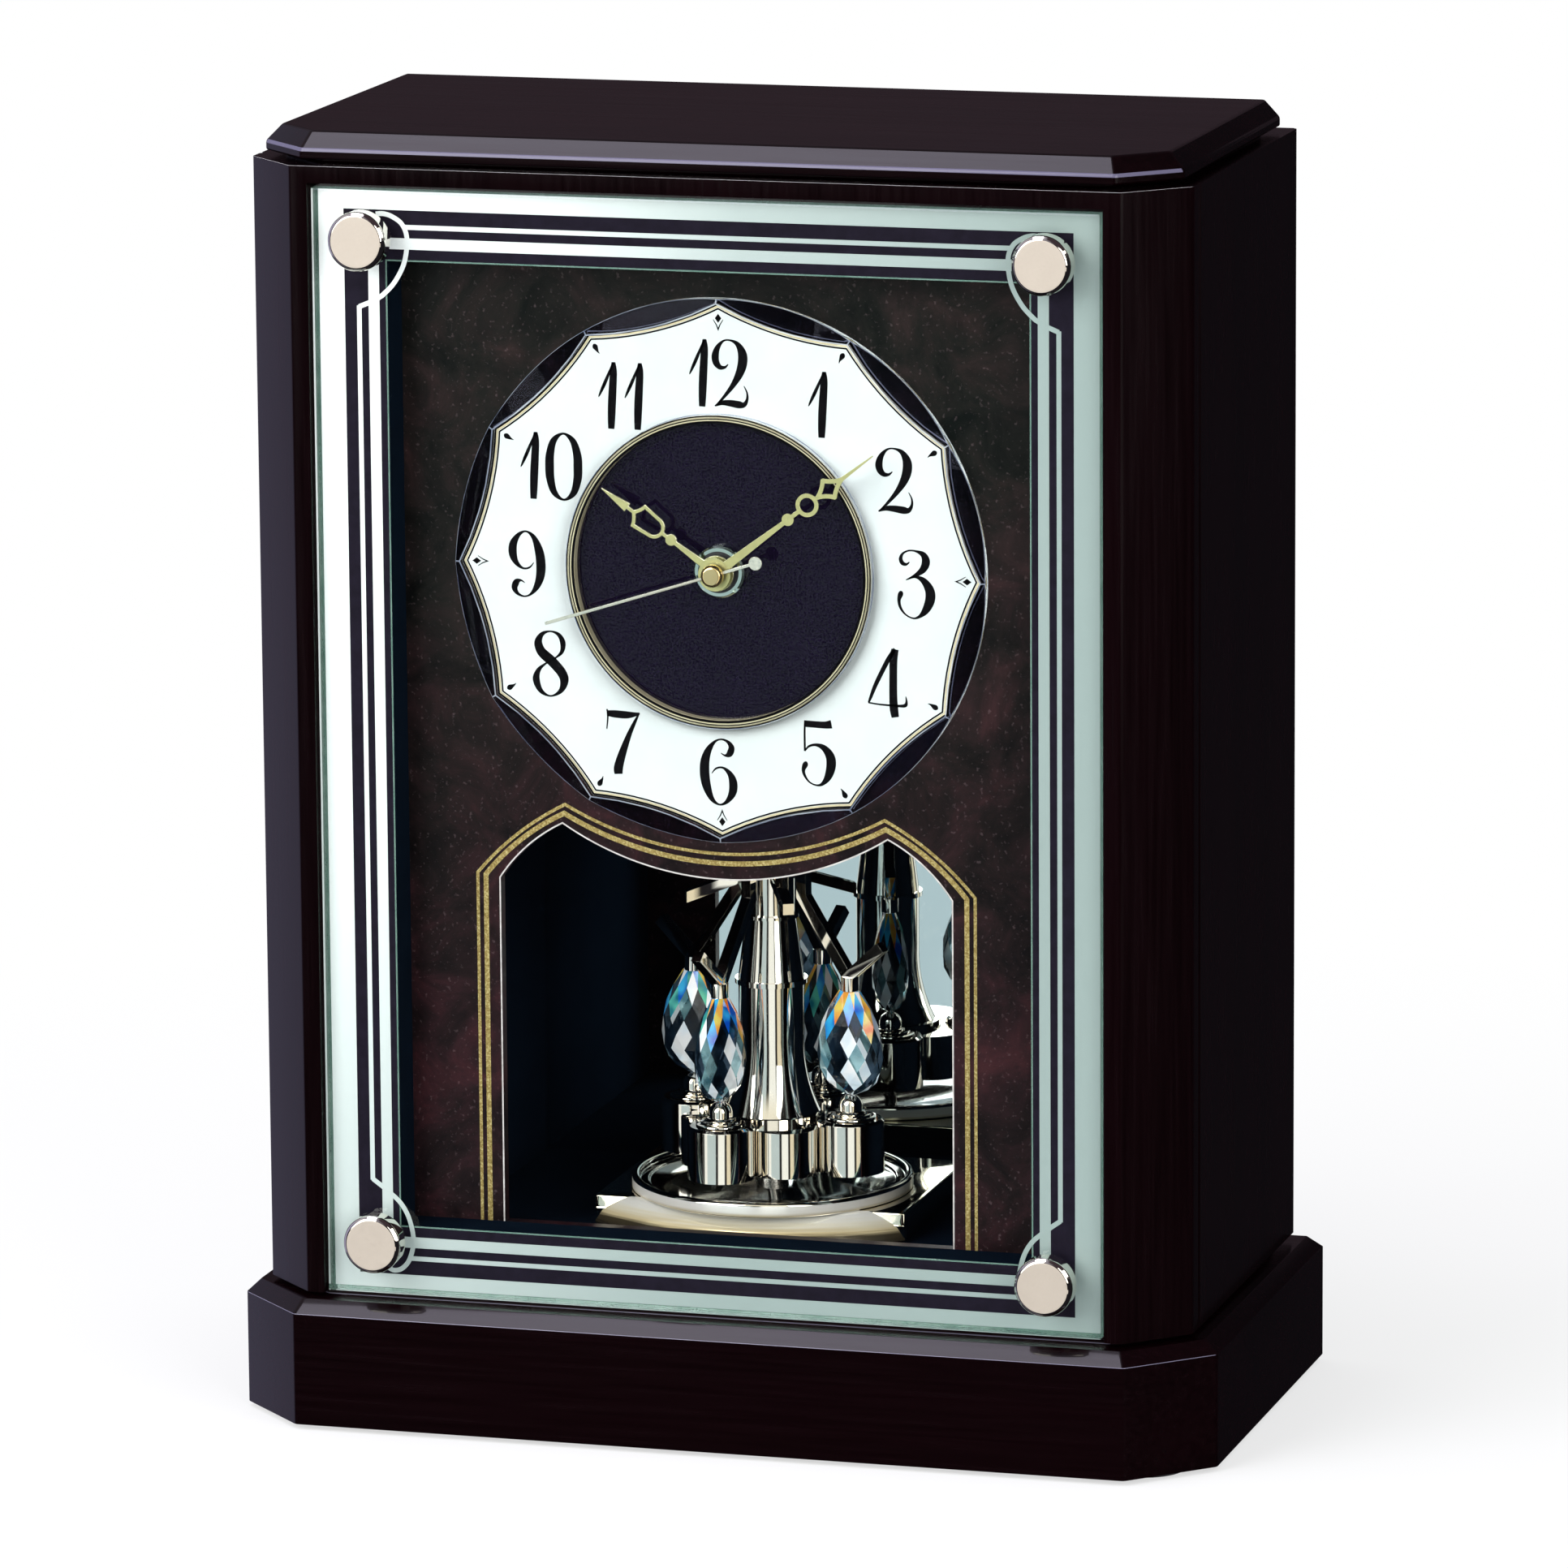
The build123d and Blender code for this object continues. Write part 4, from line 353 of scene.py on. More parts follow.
speck = burl_look.noise(1300.0, 2.0, (1, 1, 1), 0.5)
speckle = burl_look.ramp(speck, [(0.62, NONE), (0.74, (0.040, 0.028, 0.030))])
burl_look.colour(burl_look.blend(1.0, tone, speckle, "ADD"))
burl_look.rough(burl_look.span(cloud, 0.3, 0.7, 0.28, 0.42))
burl_look.bump(speck, 0.00003, 0.3)
burl = burl_look.mat

white_look = Look("dial_white", Roughness=0.45)
white_look.mottle(white_look.noise(120.0, 3.0), (0.3, (0.84, 0.885, 0.88)), (0.7, (0.87, 0.915, 0.91)))
white_look.bump(white_look.noise(4000.0, 2.0), 0.000004, 0.2)
dial_white = white_look.mat

# Silvered bands of the print, with a painted reflection: brighter on the left and below, grey-green on the
# right
silver_look = Look("silver_band", Metallic=0.0, Roughness=0.35, Specular_IOR_Level=0.4)
across = silver_look.math("ADD", silver_look.span(silver_look.axis("X"), -0.066, 0.066),
                          silver_look.span(silver_look.axis("Z"), 0.034, 0.200, 0.5, 0.0))
painted_reflection_tone = silver_look.ramp(across, [(0.0, (0.86, 0.90, 0.89)), (0.30, (0.70, 0.77, 0.75)),
                                   (0.55, (0.44, 0.52, 0.50)), (1.0, (0.29, 0.37, 0.35))])
worn = silver_look.span(silver_look.noise(300.0, 3.0), 0.0, 1.0, 0.0, 0.08)
silver_look.colour(silver_look.blend(worn, painted_reflection_tone, (0.36, 0.43, 0.41)))
silver = silver_look.mat

front_glass = pane("front_glass", (0.985, 0.995, 0.99), 1.3)
glass_rim_and_painted_glint = glass("polished_edge", (200.0, 2.0), [(0.3, (0.35, 0.62, 0.52)), (0.7, (0.55, 0.80, 0.70))],
                   Transmission_Weight=0.85, Roughness=0.08, IOR=1.5)
clear_lens = glass("clear_disc", (50.0, 2.0), [(0.3, (0.985, 0.99, 1.0)), (0.7, (1.0, 1.0, 1.0))],
                   (0.35, 0.35, 0.35), Transmission_Weight=1.0, Roughness=0.0, IOR=1.49,
                   Specular_IOR_Level=0.2)
# painted glint on the lens's rounded edges and painted dark reflection on its ground slopes; the disc itself
# is clear
painted_glint_lens_edge = glass("painted_glint_lens_edge", (120.0, 2.0), [(0.35, (0.30, 0.36, 0.52)), (0.65, (0.80, 0.88, 1.0))],
                  Transmission_Weight=0.6, Roughness=0.15, IOR=1.49)
painted_dark_lens_facet = glass("painted_dark_lens_facet", (28.0, 1.0), [(0.38, (0.014, 0.015, 0.040)), (0.64, (0.050, 0.054, 0.115))],
                   (0.10, 0.10, 0.13), Transmission_Weight=1.0, Roughness=0.0, IOR=1.49,
                   Specular_IOR_Level=0.05)


def cut_glass(name, tint, shade, clearness, shine=1.0):
    """Cut crystal; apart from the clear kind, each kind is painted sparkle: split-light colours, white
    highlights and dark reflections painted on facets.
    """
    return glass(name, (260.0, 1.0), [(0.38, shade), (0.62, tint)], (shine, shine, shine),
                 Transmission_Weight=clearness, Roughness=0.012, IOR=1.62)


crystal = cut_glass("cut_crystal", (1.0, 1.0, 1.0), (0.90, 0.96, 1.0), 1.0)
# beyond the clear crystal, the kinds are painted sparkle: split-light colours, white highlights and dark
# reflections on single facets
clear_and_painted_sparkle_cuts = [
    crystal,
    cut_glass("crystal_painted_white", (1.0, 1.0, 1.0), (0.80, 0.92, 1.0), 0.25),
    cut_glass("crystal_painted_pale", (0.30, 0.55, 0.58), (0.05, 0.16, 0.20), 0.6, 0.6),
    cut_glass("crystal_painted_dark", (0.010, 0.022, 0.04), (0.002, 0.005, 0.009), 0.5, 0.25),
    cut_glass("crystal_painted_blue", (0.05, 0.55, 1.0), (0.005, 0.10, 0.65), 0.3),
    cut_glass("crystal_painted_amber", (1.0, 0.75, 0.12), (1.0, 0.20, 0.02), 0.3),
    cut_glass("crystal_painted_teal", (0.15, 0.85, 0.62), (0.01, 0.22, 0.30), 0.4),
]

by_slot = {
    "lacquered_wood": wood_upright, "board_wood": wood_board, "felt": felt, "screw_steel": steel,
    "front_glass": front_glass, "knob_metal": knob_metal, "dark_panel": dark_panel, "burl": burl,
    "dial_white": dial_white, "clear_lens": clear_lens, "center_dark": center_dark, "gilt": gilt,
    "hand_gold": hand_gold, "movement_plastic": white_case, "battery_jacket": battery,
    "contact_metal": contact, "circuit": circuit, "copper_wire": copper, "gear_plastic": gear_white,
    "gear_brass": brass, "mirror_glass": mirror, "champagne_chrome": chrome, "crystal": crystal,
    "magnet": magnet,
}
slot_of = {part["node"]: part["material_slot"] for part in record["subparts"]}
own = {
    "base_plinth": wood_level, "lid": wood_level, "top_board": wood_level, "bottom_board": dark_panel,
    "dial_nut": nut_chrome, "second_hand": second_silver, "stage": stage_chrome, "stage_dish": stage_chrome,
}
for node, obj in nodes.items():
    for slot in obj.material_slots:
        slot.material = own.get(node, by_slot[slot_of[node]])


# -------------------------------- mesh helpers

def in_scene(name, data):
    obj = bpy.data.objects.new(name, data)
    bpy.context.scene.collection.objects.link(obj)
    return obj


def new_piece(name, bm, mats, body, smooth=None):
    mesh = bpy.data.meshes.new(name)
    bmesh.ops.recalc_face_normals(bm, faces=bm.faces)
    bm.to_mesh(mesh)
    bm.free()
    for mat in mats if isinstance(mats, list) else [mats]:
        mesh.materials.append(mat)
    if smooth is not None:
        mesh.shade_smooth()
        mesh.set_sharp_from_angle(angle=radians(smooth))
    obj = in_scene(name, mesh)
    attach(obj, body)
    return obj


def ribbon(bm, left, right, front, back, closed=False):
    """A flat band between two lines of (x, z), from one y to another, all in mm."""
    rows = []
    for (lx, lz), (rx, rz) in zip(left, right):
        rows.append([bm.verts.new((x * MM, y * MM, z * MM)) for x, z, y in
                     ((lx, lz, front), (rx, rz, front), (rx, rz, back), (lx, lz, back))])
    count = len(rows)
    for i in range(count if closed else count - 1):
        a, b = rows[i], rows[(i + 1) % count]
        for k in range(4):
            bm.faces.new((a[k], b[k], b[(k + 1) % 4], a[(k + 1) % 4]))
    if not closed:
        bm.faces.new(rows[0])
        bm.faces.new(rows[-1])


def offset(points, shift, closed=False):
    """The line moved sideways by shift (a number, or one per point), with mitred corners."""
    count = len(points)
    shifts = shift if isinstance(shift, list) else [shift] * count
    moved = []
    for i, (x, z) in enumerate(points):
        before = points[i - 1] if (closed or i) else None
        after = points[(i + 1) % count] if (closed or i < count - 1) else None
        normals = []
        for a, b in ((before, (x, z)), ((x, z), after)):
            if a is None or b is None:
                continue
            dx, dz = b[0] - a[0], b[1] - a[1]
            size = hypot(dx, dz) or 1.0
            normals.append((-dz / size, dx / size))
        nx = sum(n[0] for n in normals) / len(normals)
        nz = sum(n[1] for n in normals) / len(normals)
        size = max(nx * nx + nz * nz, 0.15)
        moved.append((x + shifts[i] * nx / size, z + shifts[i] * nz / size))
    return moved


def line(bm, points, width, front, back, closed=False):
    """A flat line along points, of one width or one per point."""
    widths = width if isinstance(width, list) else [width] * len(points)
    ribbon(bm, offset(points, [w / 2 for w in widths], closed),
           offset(points, [-w / 2 for w in widths], closed), front, back, closed)


def circle(cx, cz, radius, steps=96):
    turns = [radians(360 * i / steps) for i in range(steps)]
    return [(cx + radius * sin(turn), cz + radius * cos(turn)) for turn in turns]


def through(a, b, c, steps=24):
    """Points of the arc from a through b to c."""
    (ax, az), (bx, bz), (cx, cz) = a, b, c
    d = 2 * (ax * (bz - cz) + bx * (cz - az) + cx * (az - bz))
    ux = ((ax**2 + az**2) * (bz - cz) + (bx**2 + bz**2) * (cz - az) + (cx**2 + cz**2) * (az - bz)) / d
    uz = ((ax**2 + az**2) * (cx - bx) + (bx**2 + bz**2) * (ax - cx) + (cx**2 + cz**2) * (bx - ax)) / d
    radius = hypot(ax - ux, az - uz)
    t0, tm, t1 = (atan2(p[1] - uz, p[0] - ux) for p in (a, b, c))
    span = (t1 - t0) % (2 * pi)
    if (tm - t0) % (2 * pi) > span:
        span -= 2 * pi
    return [(ux + radius * cos(t0 + span * i / steps), uz + radius * sin(t0 + span * i / steps))
            for i in range(steps + 1)]


def smooth_line(points, closed=False, steps=8):
    """A spline through points of any size, with all their values smoothed alike."""
    count = len(points)
    out = []
    for i in range(count if closed else count - 1):
        quad = [points[(i + k) % count if closed else min(max(i + k, 0), count - 1)] for k in (-1, 0, 1, 2)]
        for s in range(steps):
            t = s / steps
            out.append(tuple(
                0.5 * (2 * p1 + (p2 - p0) * t + (2 * p0 - 5 * p1 + 4 * p2 - p3) * t * t
                       + (3 * p1 - p0 - 3 * p2 + p3) * t**3)
                for p0, p1, p2, p3 in zip(*quad)))
    if not closed:
        out.append(tuple(points[-1]))
    return out


SHARP = 28  # degrees from which an eased piece keeps an edge sharp


def eased(node, width, steps=2, angle=35.0, edge_mat=None, mats=None, change=None):
    """The node's own shape with its sharp edges rounded over, in place of the node."""
    source = nodes[node]
    bm = bmesh.new()
    bm.from_mesh(source.data)
    bmesh.ops.remove_doubles(bm, verts=bm.verts, dist=0.000002)
    bmesh.ops.dissolve_limit(bm, angle_limit=radians(1.0), verts=bm.verts, edges=bm.edges)
    if change:
        change(bm)
    mats = (mats or [source.material_slots[0].material]) + ([edge_mat] if edge_mat else [])
    obj = new_piece(node + "_eased", bm, mats, carrier[node], SHARP)
    ease = obj.modifiers.new("ease", "BEVEL")
    ease.width = width * MM
    ease.segments = steps
    ease.limit_method = "ANGLE"
    ease.angle_limit = radians(angle)
    if edge_mat:
        ease.material = len(mats) - 1
    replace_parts(obj, node)


def node_box(node):
    low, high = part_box(node)
    return Vector(low) / MM, Vector(high) / MM


# -------------------------------- places, in mm

glass_low, glass_high = node_box("glass_panel")
ring_low, ring_high = node_box("dial_ring")
board_y = node_box("dial_board")[0].y
gilt_low, gilt_high = node_box("center_ring")
gilt_radius = (gilt_high.x - gilt_low.x) / 2
opening_low, opening_high = node_box("shadow_box")
dial_x = (ring_low.x + ring_high.x) / 2
dial_z = (ring_low.z + ring_high.z) / 2
ring_y = ring_low.y
glass_back = glass_high.y
column_low, column_high = node_box("column")
pendulum_y = (column_low.y + column_high.y) / 2
SPACER_WALL = 1.5
open_x = opening_high.x - SPACER_WALL
open_low = opening_low.z + SPACER_WALL
open_high = opening_high.z - SPACER_WALL
FILM = 0.03  # thickness of a printed layer


# -------------------------------- eased wooden parts and metal

eased("base_plinth", 0.45)
eased("front_frame", 0.85, 3)
eased("lid", 0.4)
# the hands' bevels are paler gold: a polished edge with a painted highlight
eased("hour_hand", 0.16, 2, 40.0, hand_edge_polish_and_highlight)
eased("minute_hand", 0.16, 2, 40.0, hand_edge_polish_and_highlight)


DISH_WALL_R, BOSS_R = 26.2, 2.7  # of the dish's inner side, and of the seconds hand's boss


def outer_wall(bm):
    """The dish's outer wall gets the painted reflection: the brightest band under the pendulum."""
    for face in bm.faces:
        middle = face.calc_center_median() / MM
        outside = hypot(middle.x, middle.y - pendulum_y) > DISH_WALL_R
        face.material_index = int(abs(face.normal.z) < 0.3 and outside)


# the dish: darkened chrome as painted dark reflection, plain chrome on its rounded rims as a painted
# highlight, and the painted bright band on its outer wall
eased("stage_dish", 0.22, 2, 35.0, chrome, [dish_painted_dark, rim_painted_reflection], outer_wall)
for node, width in (("rotor_base", 0.35), ("rotor_arms", 0.22), ("dial_nut", 0.15)):
    eased(node, width)


def facets(bm):
    """The ground slopes of the clear disc, against its flat faces; the slopes get a painted dark reflection.
    """
    for face in bm.faces:
        face.material_index = int(0.02 < abs(face.normal.y) < 0.995)


# slopes in painted dark reflection, rounded edges in painted glint
eased("dial_lens", 0.13, 1, 4.0, painted_glint_lens_edge, [clear_lens, painted_dark_lens_facet], facets)


def satin_faces(bm):
    """The round faces of the knobs are satin, their sides polished."""
    for face in bm.faces:
        in_front = face.calc_center_median().y < glass_low.y * MM
        face.material_index = int(face.normal.y < -0.95 and in_front)


eased("glass_knobs", 0.25, 3, 25.0, None, [knob_rim, knob_metal], satin_faces)


def golden_boss(bm):
    """The round boss of the seconds hand is gold, its arms silver."""
    for face in bm.faces:
        middle = face.calc_center_median() / MM
        face.material_index = int(hypot(middle.x - dial_x, middle.z - dial_z) < BOSS_R)


eased("second_hand", 0.10, 2, 40.0, None, [second_silver, boss_gold], golden_boss)


# -------------------------------- bowed lip of the stage

stage_low, stage_high = node_box("stage")
corner_y = pendulum_y - 16.0
bow_depth = corner_y - stage_low.y
bow_radius = (stage_high.x**2 + bow_depth**2) / (2 * bow_depth)
bow_y = stage_low.y + bow_radius
bow_half = asin(stage_high.x / bow_radius)


def behind_lip(bm):
    """The plate ends in a straight front edge; the lip makes its bow."""
    for vert in bm.verts:
        if vert.co.y < (corner_y - 0.1) * MM:
            vert.co.y = corner_y * MM


eased("stage", 0.3, change=behind_lip)
# the lip's profile: out from the bow, and up to the plate's top
LIP = [(-12.0, -0.02), (-4.4, -0.02), (-3.9, -0.12), (-3.4, -0.45), (-1.35, -2.35), (-0.9, -2.95),
       (-0.15, -4.75), (0.0, -5.2), (-0.25, -5.55), (-1.2, -5.7), (-12.0, -5.7)]
BOW_STEPS = 60
bm = bmesh.new()
rows = []
for i in range(BOW_STEPS + 1):
    turn = bow_half * (2 * i / BOW_STEPS - 1)
    rows.append([bm.verts.new(((bow_radius + out) * sin(turn) * MM,
                               (bow_y - (bow_radius + out) * cos(turn)) * MM,
                               (stage_high.z + up) * MM)) for out, up in LIP])
for a, b in zip(rows, rows[1:]):
    for k in range(len(LIP)):
        after = (k + 1) % len(LIP)
        bm.faces.new((a[k], b[k], b[after], a[after]))
bm.faces.new(rows[0])
bm.faces.new(list(reversed(rows[-1])))
# the lip's colour is the painted shade and painted reflection of lip_painted_reflection
new_piece("stage_lip", bm, lip_painted_reflection, "case", 40)


# -------------------------------- turned finials and cut crystals

def lathe(bm, profile, cx, cy, steps=40):
    """Points (radius, z) in mm turned about an upright axis; radius 0 closes an end."""
    rings = []
    for radius, z in profile:
        if radius == 0:
            rings.append([bm.verts.new((cx * MM, cy * MM, z * MM))])
            continue
        turns = [2 * pi * n / steps for n in range(steps)]
        rings.append([bm.verts.new(((cx + radius * cos(turn)) * MM, (cy + radius * sin(turn)) * MM, z * MM))
                      for turn in turns])
    for a, b in zip(rings, rings[1:]):
        for n in range(steps):
            m = (n + 1) % steps
            if len(a) == 1:
                bm.faces.new((a[0], b[n], b[m]))
            elif len(b) == 1:
                bm.faces.new((a[n], b[0], a[m]))
            else:
                bm.faces.new((a[n], b[n], b[m], a[m]))


finials_low, finials_high = node_box("finials")
crystal_places = []
for k in range(4):
    low, high = node_box(f"crystal_{k + 1}")
    crystal_places.append(((low.x + high.x) / 2, (low.y + high.y) / 2, low.z, high.z))
foot, tip = finials_low.z, finials_high.z
DOME_R = 2.2
COLLARS = [(0, 0.02), (4.55, 0.02), (4.75, 0.16), (4.7, 0.34), (4.3, 0.45), (3.75, 0.5), (3.9, 0.66),
           (3.8, 0.85), (3.3, 0.95), (2.75, 1.0), (2.85, 1.18), (2.7, 1.36), (DOME_R, 1.45)]
dome = [(DOME_R * cos(radians(a)), tip - DOME_R + DOME_R * sin(radians(a))) for a in range(0, 90, 10)]
finial = [(radius, foot + rise) for radius, rise in COLLARS] + dome + [(0, tip)]
bm = bmesh.new()
for x, y, low, high in crystal_places:
    lathe(bm, finial, x, y)
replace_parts(new_piece("finials_turned", bm, chrome, "pendulum", 50), "finials")

CRYSTAL_W, CRYSTAL_T, CRYSTAL_N, CRYSTAL_GAP = 14.15, 7.35, 12, 0.02
# rows of corners from below: share of the height, share of the width
CRYSTAL_ROWS = [(0.0, 0.18), (0.055, 0.55), (0.13, 0.79), (0.24, 0.94), (0.38, 1.0), (0.53, 0.96),
                (0.68, 0.85), (0.84, 0.64), (1.0, 0.32)]
# which cut each facet pair gets, row by row from below, round the drop: 0 is clear, the others are painted
# sparkle
PAINTED_SPARKLE_CUTS = ["133130330131", "313013313023", "130132313310", "033213130231", "233031313323", "031323033231",
        "351034623143", "451653416354", "514645164545"]
for k, (cx, cy, low, high) in enumerate(crystal_places):
    outward = atan2(cy - pendulum_y, cx)
    bm = bmesh.new()
    rows = []
    for step, (level, wide) in enumerate(CRYSTAL_ROWS):
        row = []
        for n in range(CRYSTAL_N):
            turn = (2 * n + 1 + step % 2) * pi / CRYSTAL_N
            u, v = wide * CRYSTAL_W / 2 * cos(turn), wide * CRYSTAL_T / 2 * sin(turn)
            row.append(bm.verts.new(((cx + u * cos(outward) - v * sin(outward)) * MM,
                                     (cy + u * sin(outward) + v * cos(outward)) * MM,
                                     (low + CRYSTAL_GAP + level * (high - low - 2 * CRYSTAL_GAP)) * MM)))
        rows.append(row)

    def cut(row, n):
        return int(PAINTED_SPARKLE_CUTS[row][(n + 5 * k) % CRYSTAL_N])

    bm.faces.new(rows[0])
    bm.faces.new(rows[-1])
    for step in range(len(rows) - 1):
        one, two = (step, step + 1) if step % 2 == 0 else (step + 1, step)
        first, second = rows[one], rows[two]
        for n in range(CRYSTAL_N):
            after = (n + 1) % CRYSTAL_N
            bm.faces.new((first[n], first[after], second[n])).material_index = cut(one, n)
            bm.faces.new((second[n], second[after], first[after])).material_index = cut(two, n)
    drop = new_piece(f"crystal_{k + 1}_cut", bm, clear_and_painted_sparkle_cuts, "pendulum")
    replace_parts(drop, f"crystal_{k + 1}")


# -------------------------------- print on the back of the glass

# layers of the print, from the glass's back to the front: ground, bands, corner arcs
EDGE_INSET = 0.5  # the polished rim, left without print
print_back = glass_back - 0.02
print_front = print_back - FILM
line_front = print_front - FILM
arc_front = line_front - FILM


def rectangle(half_width, low, high):
    return [(-half_width, low), (half_width, low), (half_width, high), (-half_width, high)]


outer_rect = rectangle(glass_high.x - EDGE_INSET, glass_low.z + EDGE_INSET, glass_high.z - EDGE_INSET)
bm = bmesh.new()
ribbon(bm, outer_rect, rectangle(open_x, open_low, open_high), print_front, print_back, True)
new_piece("print_ground", bm, print_dark, "case")

BAND_X, BAND_TOP, BAND_BOTTOM = 69.7, 231.95, 29.5
THIN_X, THIN_W, THIN_TOP, THIN_BOTTOM = 66.9, 0.9, 228.8, 32.7
THIN_TOP_X, THIN_BOTTOM_X = 58.2, 59.8
THICK_X, THICK_TOP, THICK_BOTTOM, THICK_W = 64.0, 225.7, 35.8, 2.1
# corner arcs of the thin line, and the jogs by which they reach its uprights
ARC_TOP = [(63.4, 231.1), (61.9, 231.2), (60.2, 230.7), (58.3, 229.3), (57.4, 226.6), (58.0, 222.2),
           (60.0, 218.4), (62.4, 215.9)]
ARC_BOTTOM = [(64.3, 30.9), (63.0, 30.2), (61.3, 30.7), (59.8, 32.6), (59.0, 36.2), (59.8, 40.4),
              (61.5, 43.4), (63.9, 45.5)]
JOG_TOP = [(64.2, 214.8), (66.9, 213.7)]
JOG_BOTTOM = [(65.2, 46.5), (66.9, 47.7)]
bm = bmesh.new()
ribbon(bm, outer_rect, rectangle(BAND_X, BAND_BOTTOM, BAND_TOP), line_front, print_front, True)
line(bm, rectangle(THICK_X, THICK_BOTTOM, THICK_TOP), THICK_W, line_front, print_front, True)
for side in (-1, 1):
    for curve, jog in ((ARC_TOP, JOG_TOP), (ARC_BOTTOM, JOG_BOTTOM)):
        bend = smooth_line([(side * x, z) for x, z in curve])
        line(bm, bend + [(side * x, z) for x, z in jog], THIN_W, arc_front, line_front)
    line(bm, [(side * THIN_X, JOG_BOTTOM[-1][1] - 0.2), (side * THIN_X, JOG_TOP[-1][1] + 0.2)], THIN_W,
         line_front, print_front)
for x, z in ((THIN_TOP_X, THIN_TOP), (THIN_BOTTOM_X, THIN_BOTTOM)):
    line(bm, [(-x, z), (x, z)], THIN_W, line_front, print_front)
new_piece("print_silver", bm, silver, "case")

# Polished rim of the glass, and a painted glint: a green line where the print ends
bm = bmesh.new()
rim_out = rectangle(glass_high.x - 0.02, glass_low.z + 0.02, glass_high.z - 0.02)
ribbon(bm, rim_out, outer_rect, glass_back - 0.1, print_back, True)
# painted glint along the opening's edge
line(bm, rectangle(open_x - 0.15, open_low + 0.15, open_high - 0.15), 0.3, print_front, print_back, True)
new_piece("glass_glint", bm, glass_rim_and_painted_glint, "case")


# -------------------------------- gold lines of the board

def window_outline(half_width, shoulder, peak_x, peak_z, dip_z, bulge=1.1):
    """The window's edge: up the right side, over two peaks and the dip between, and down the left."""
    mid_x, mid_z = (half_width + peak_x) / 2, (shoulder + peak_z) / 2
    dx, dz = half_width - peak_x, shoulder - peak_z
    out = bulge / hypot(dx, dz)
    flank = through((half_width, shoulder), (mid_x - dz * out, mid_z + dx * out), (peak_x, peak_z))
    top = through((peak_x, peak_z), (0, dip_z), (-peak_x, peak_z), 40)
    far_flank = [(-x, z) for x, z in reversed(flank)]
    return [(half_width, open_low)] + flank + top[1:] + far_flank[1:] + [(-half_width, open_low)]


bm = bmesh.new()
line(bm, window_outline(48.3, 105.8, 31.0, 119.6, 111.7), 0.6, board_y - FILM, board_y)
line(bm, window_outline(46.7, 105.5, 31.2, 117.9, 109.9), 0.95, board_y - FILM, board_y)
new_piece("board_gold_lines", bm, gold_ink, "case")
bm = bmesh.new()
line(bm, window_outline(43.95, 105.05, 31.55, 116.05, 106.85), 0.28, board_y - FILM, board_y)
new_piece("window_cut_edge", bm, pale_line, "case")


# -------------------------------- hour ring: outlines, marks and numerals

def star(radius, points, sag):
    """The ring's outline: arcs from tip to tip, sunk by sag below the straight side."""
    step = 360 / points
    low = radius * cos(radians(step / 2)) - sag
    out = []
    for k in range(points):
        tips = [(radius * sin(radians(a)), radius * cos(radians(a))) for a in (k * step, (k + 1) * step)]
        middle = radians((k + 0.5) * step)
        out += through(tips[0], (low * sin(middle), low * cos(middle)), tips[1], 10)[:-1]
    return [(dial_x + x, dial_z + z) for x, z in out]


ink_front = ring_y - FILM
outline = star(50.2, 12, 1.4)
for name, start, end, mat in (("ring_edge_dark", 0.02, 0.40, ink), ("ring_edge_gold", 0.40, 0.78, gilt),
                              ("ring_edge_line", 0.85, 1.15, ink)):
    bm = bmesh.new()
    ribbon(bm, offset(outline, -start, True), offset(outline, -end, True), ink_front, ring_y, True)
    new_piece(name, bm, mat, "case")

bm = bmesh.new()
for radius, width in ((gilt_radius + 0.06, 0.12), (gilt_radius - 0.15, 0.18)):
    line(bm, circle(dial_x, dial_z, radius), width, ink_front, ring_y, True)


def at(turn, across, out):
    """A point of the dial, seen with the hour at turn on top: across to the right, out to the rim."""
    return (dial_x + cos(turn) * across + sin(turn) * out, dial_z - sin(turn) * across + cos(turn) * out)


# marks outside the numerals: points and widths in mm, a bowed line under a lozenge or a drop
BOW = [(-0.95, 47.05, 0.12), (-0.35, 46.1, 0.2), (0, 45.2, 0.26), (0.35, 46.1, 0.2), (0.95, 47.05, 0.12)]
DROP = smooth_line([(0, 48.1, 0.1), (0, 47.9, 0.7), (0, 47.5, 1.02), (0, 47.1, 0.8), (0, 46.5, 0.35),
                    (0.12, 46.0, 0.1)], False, 5)
for hour in range(12):
    turn = radians(30 * hour)
    if hour % 3 == 0:
        top, bottom = at(turn, 0, 48.15), at(turn, 0, 46.45)
        left, right = [[top, at(turn, side * 0.62, 47.3), bottom] for side in (-1, 1)]
        ribbon(bm, left, right, ink_front, ring_y)
    mark = DROP if hour % 3 else BOW
    points = [at(turn, across, out) for across, out, width in mark]
    line(bm, points, [width for across, out, width in mark], ink_front, ring_y)

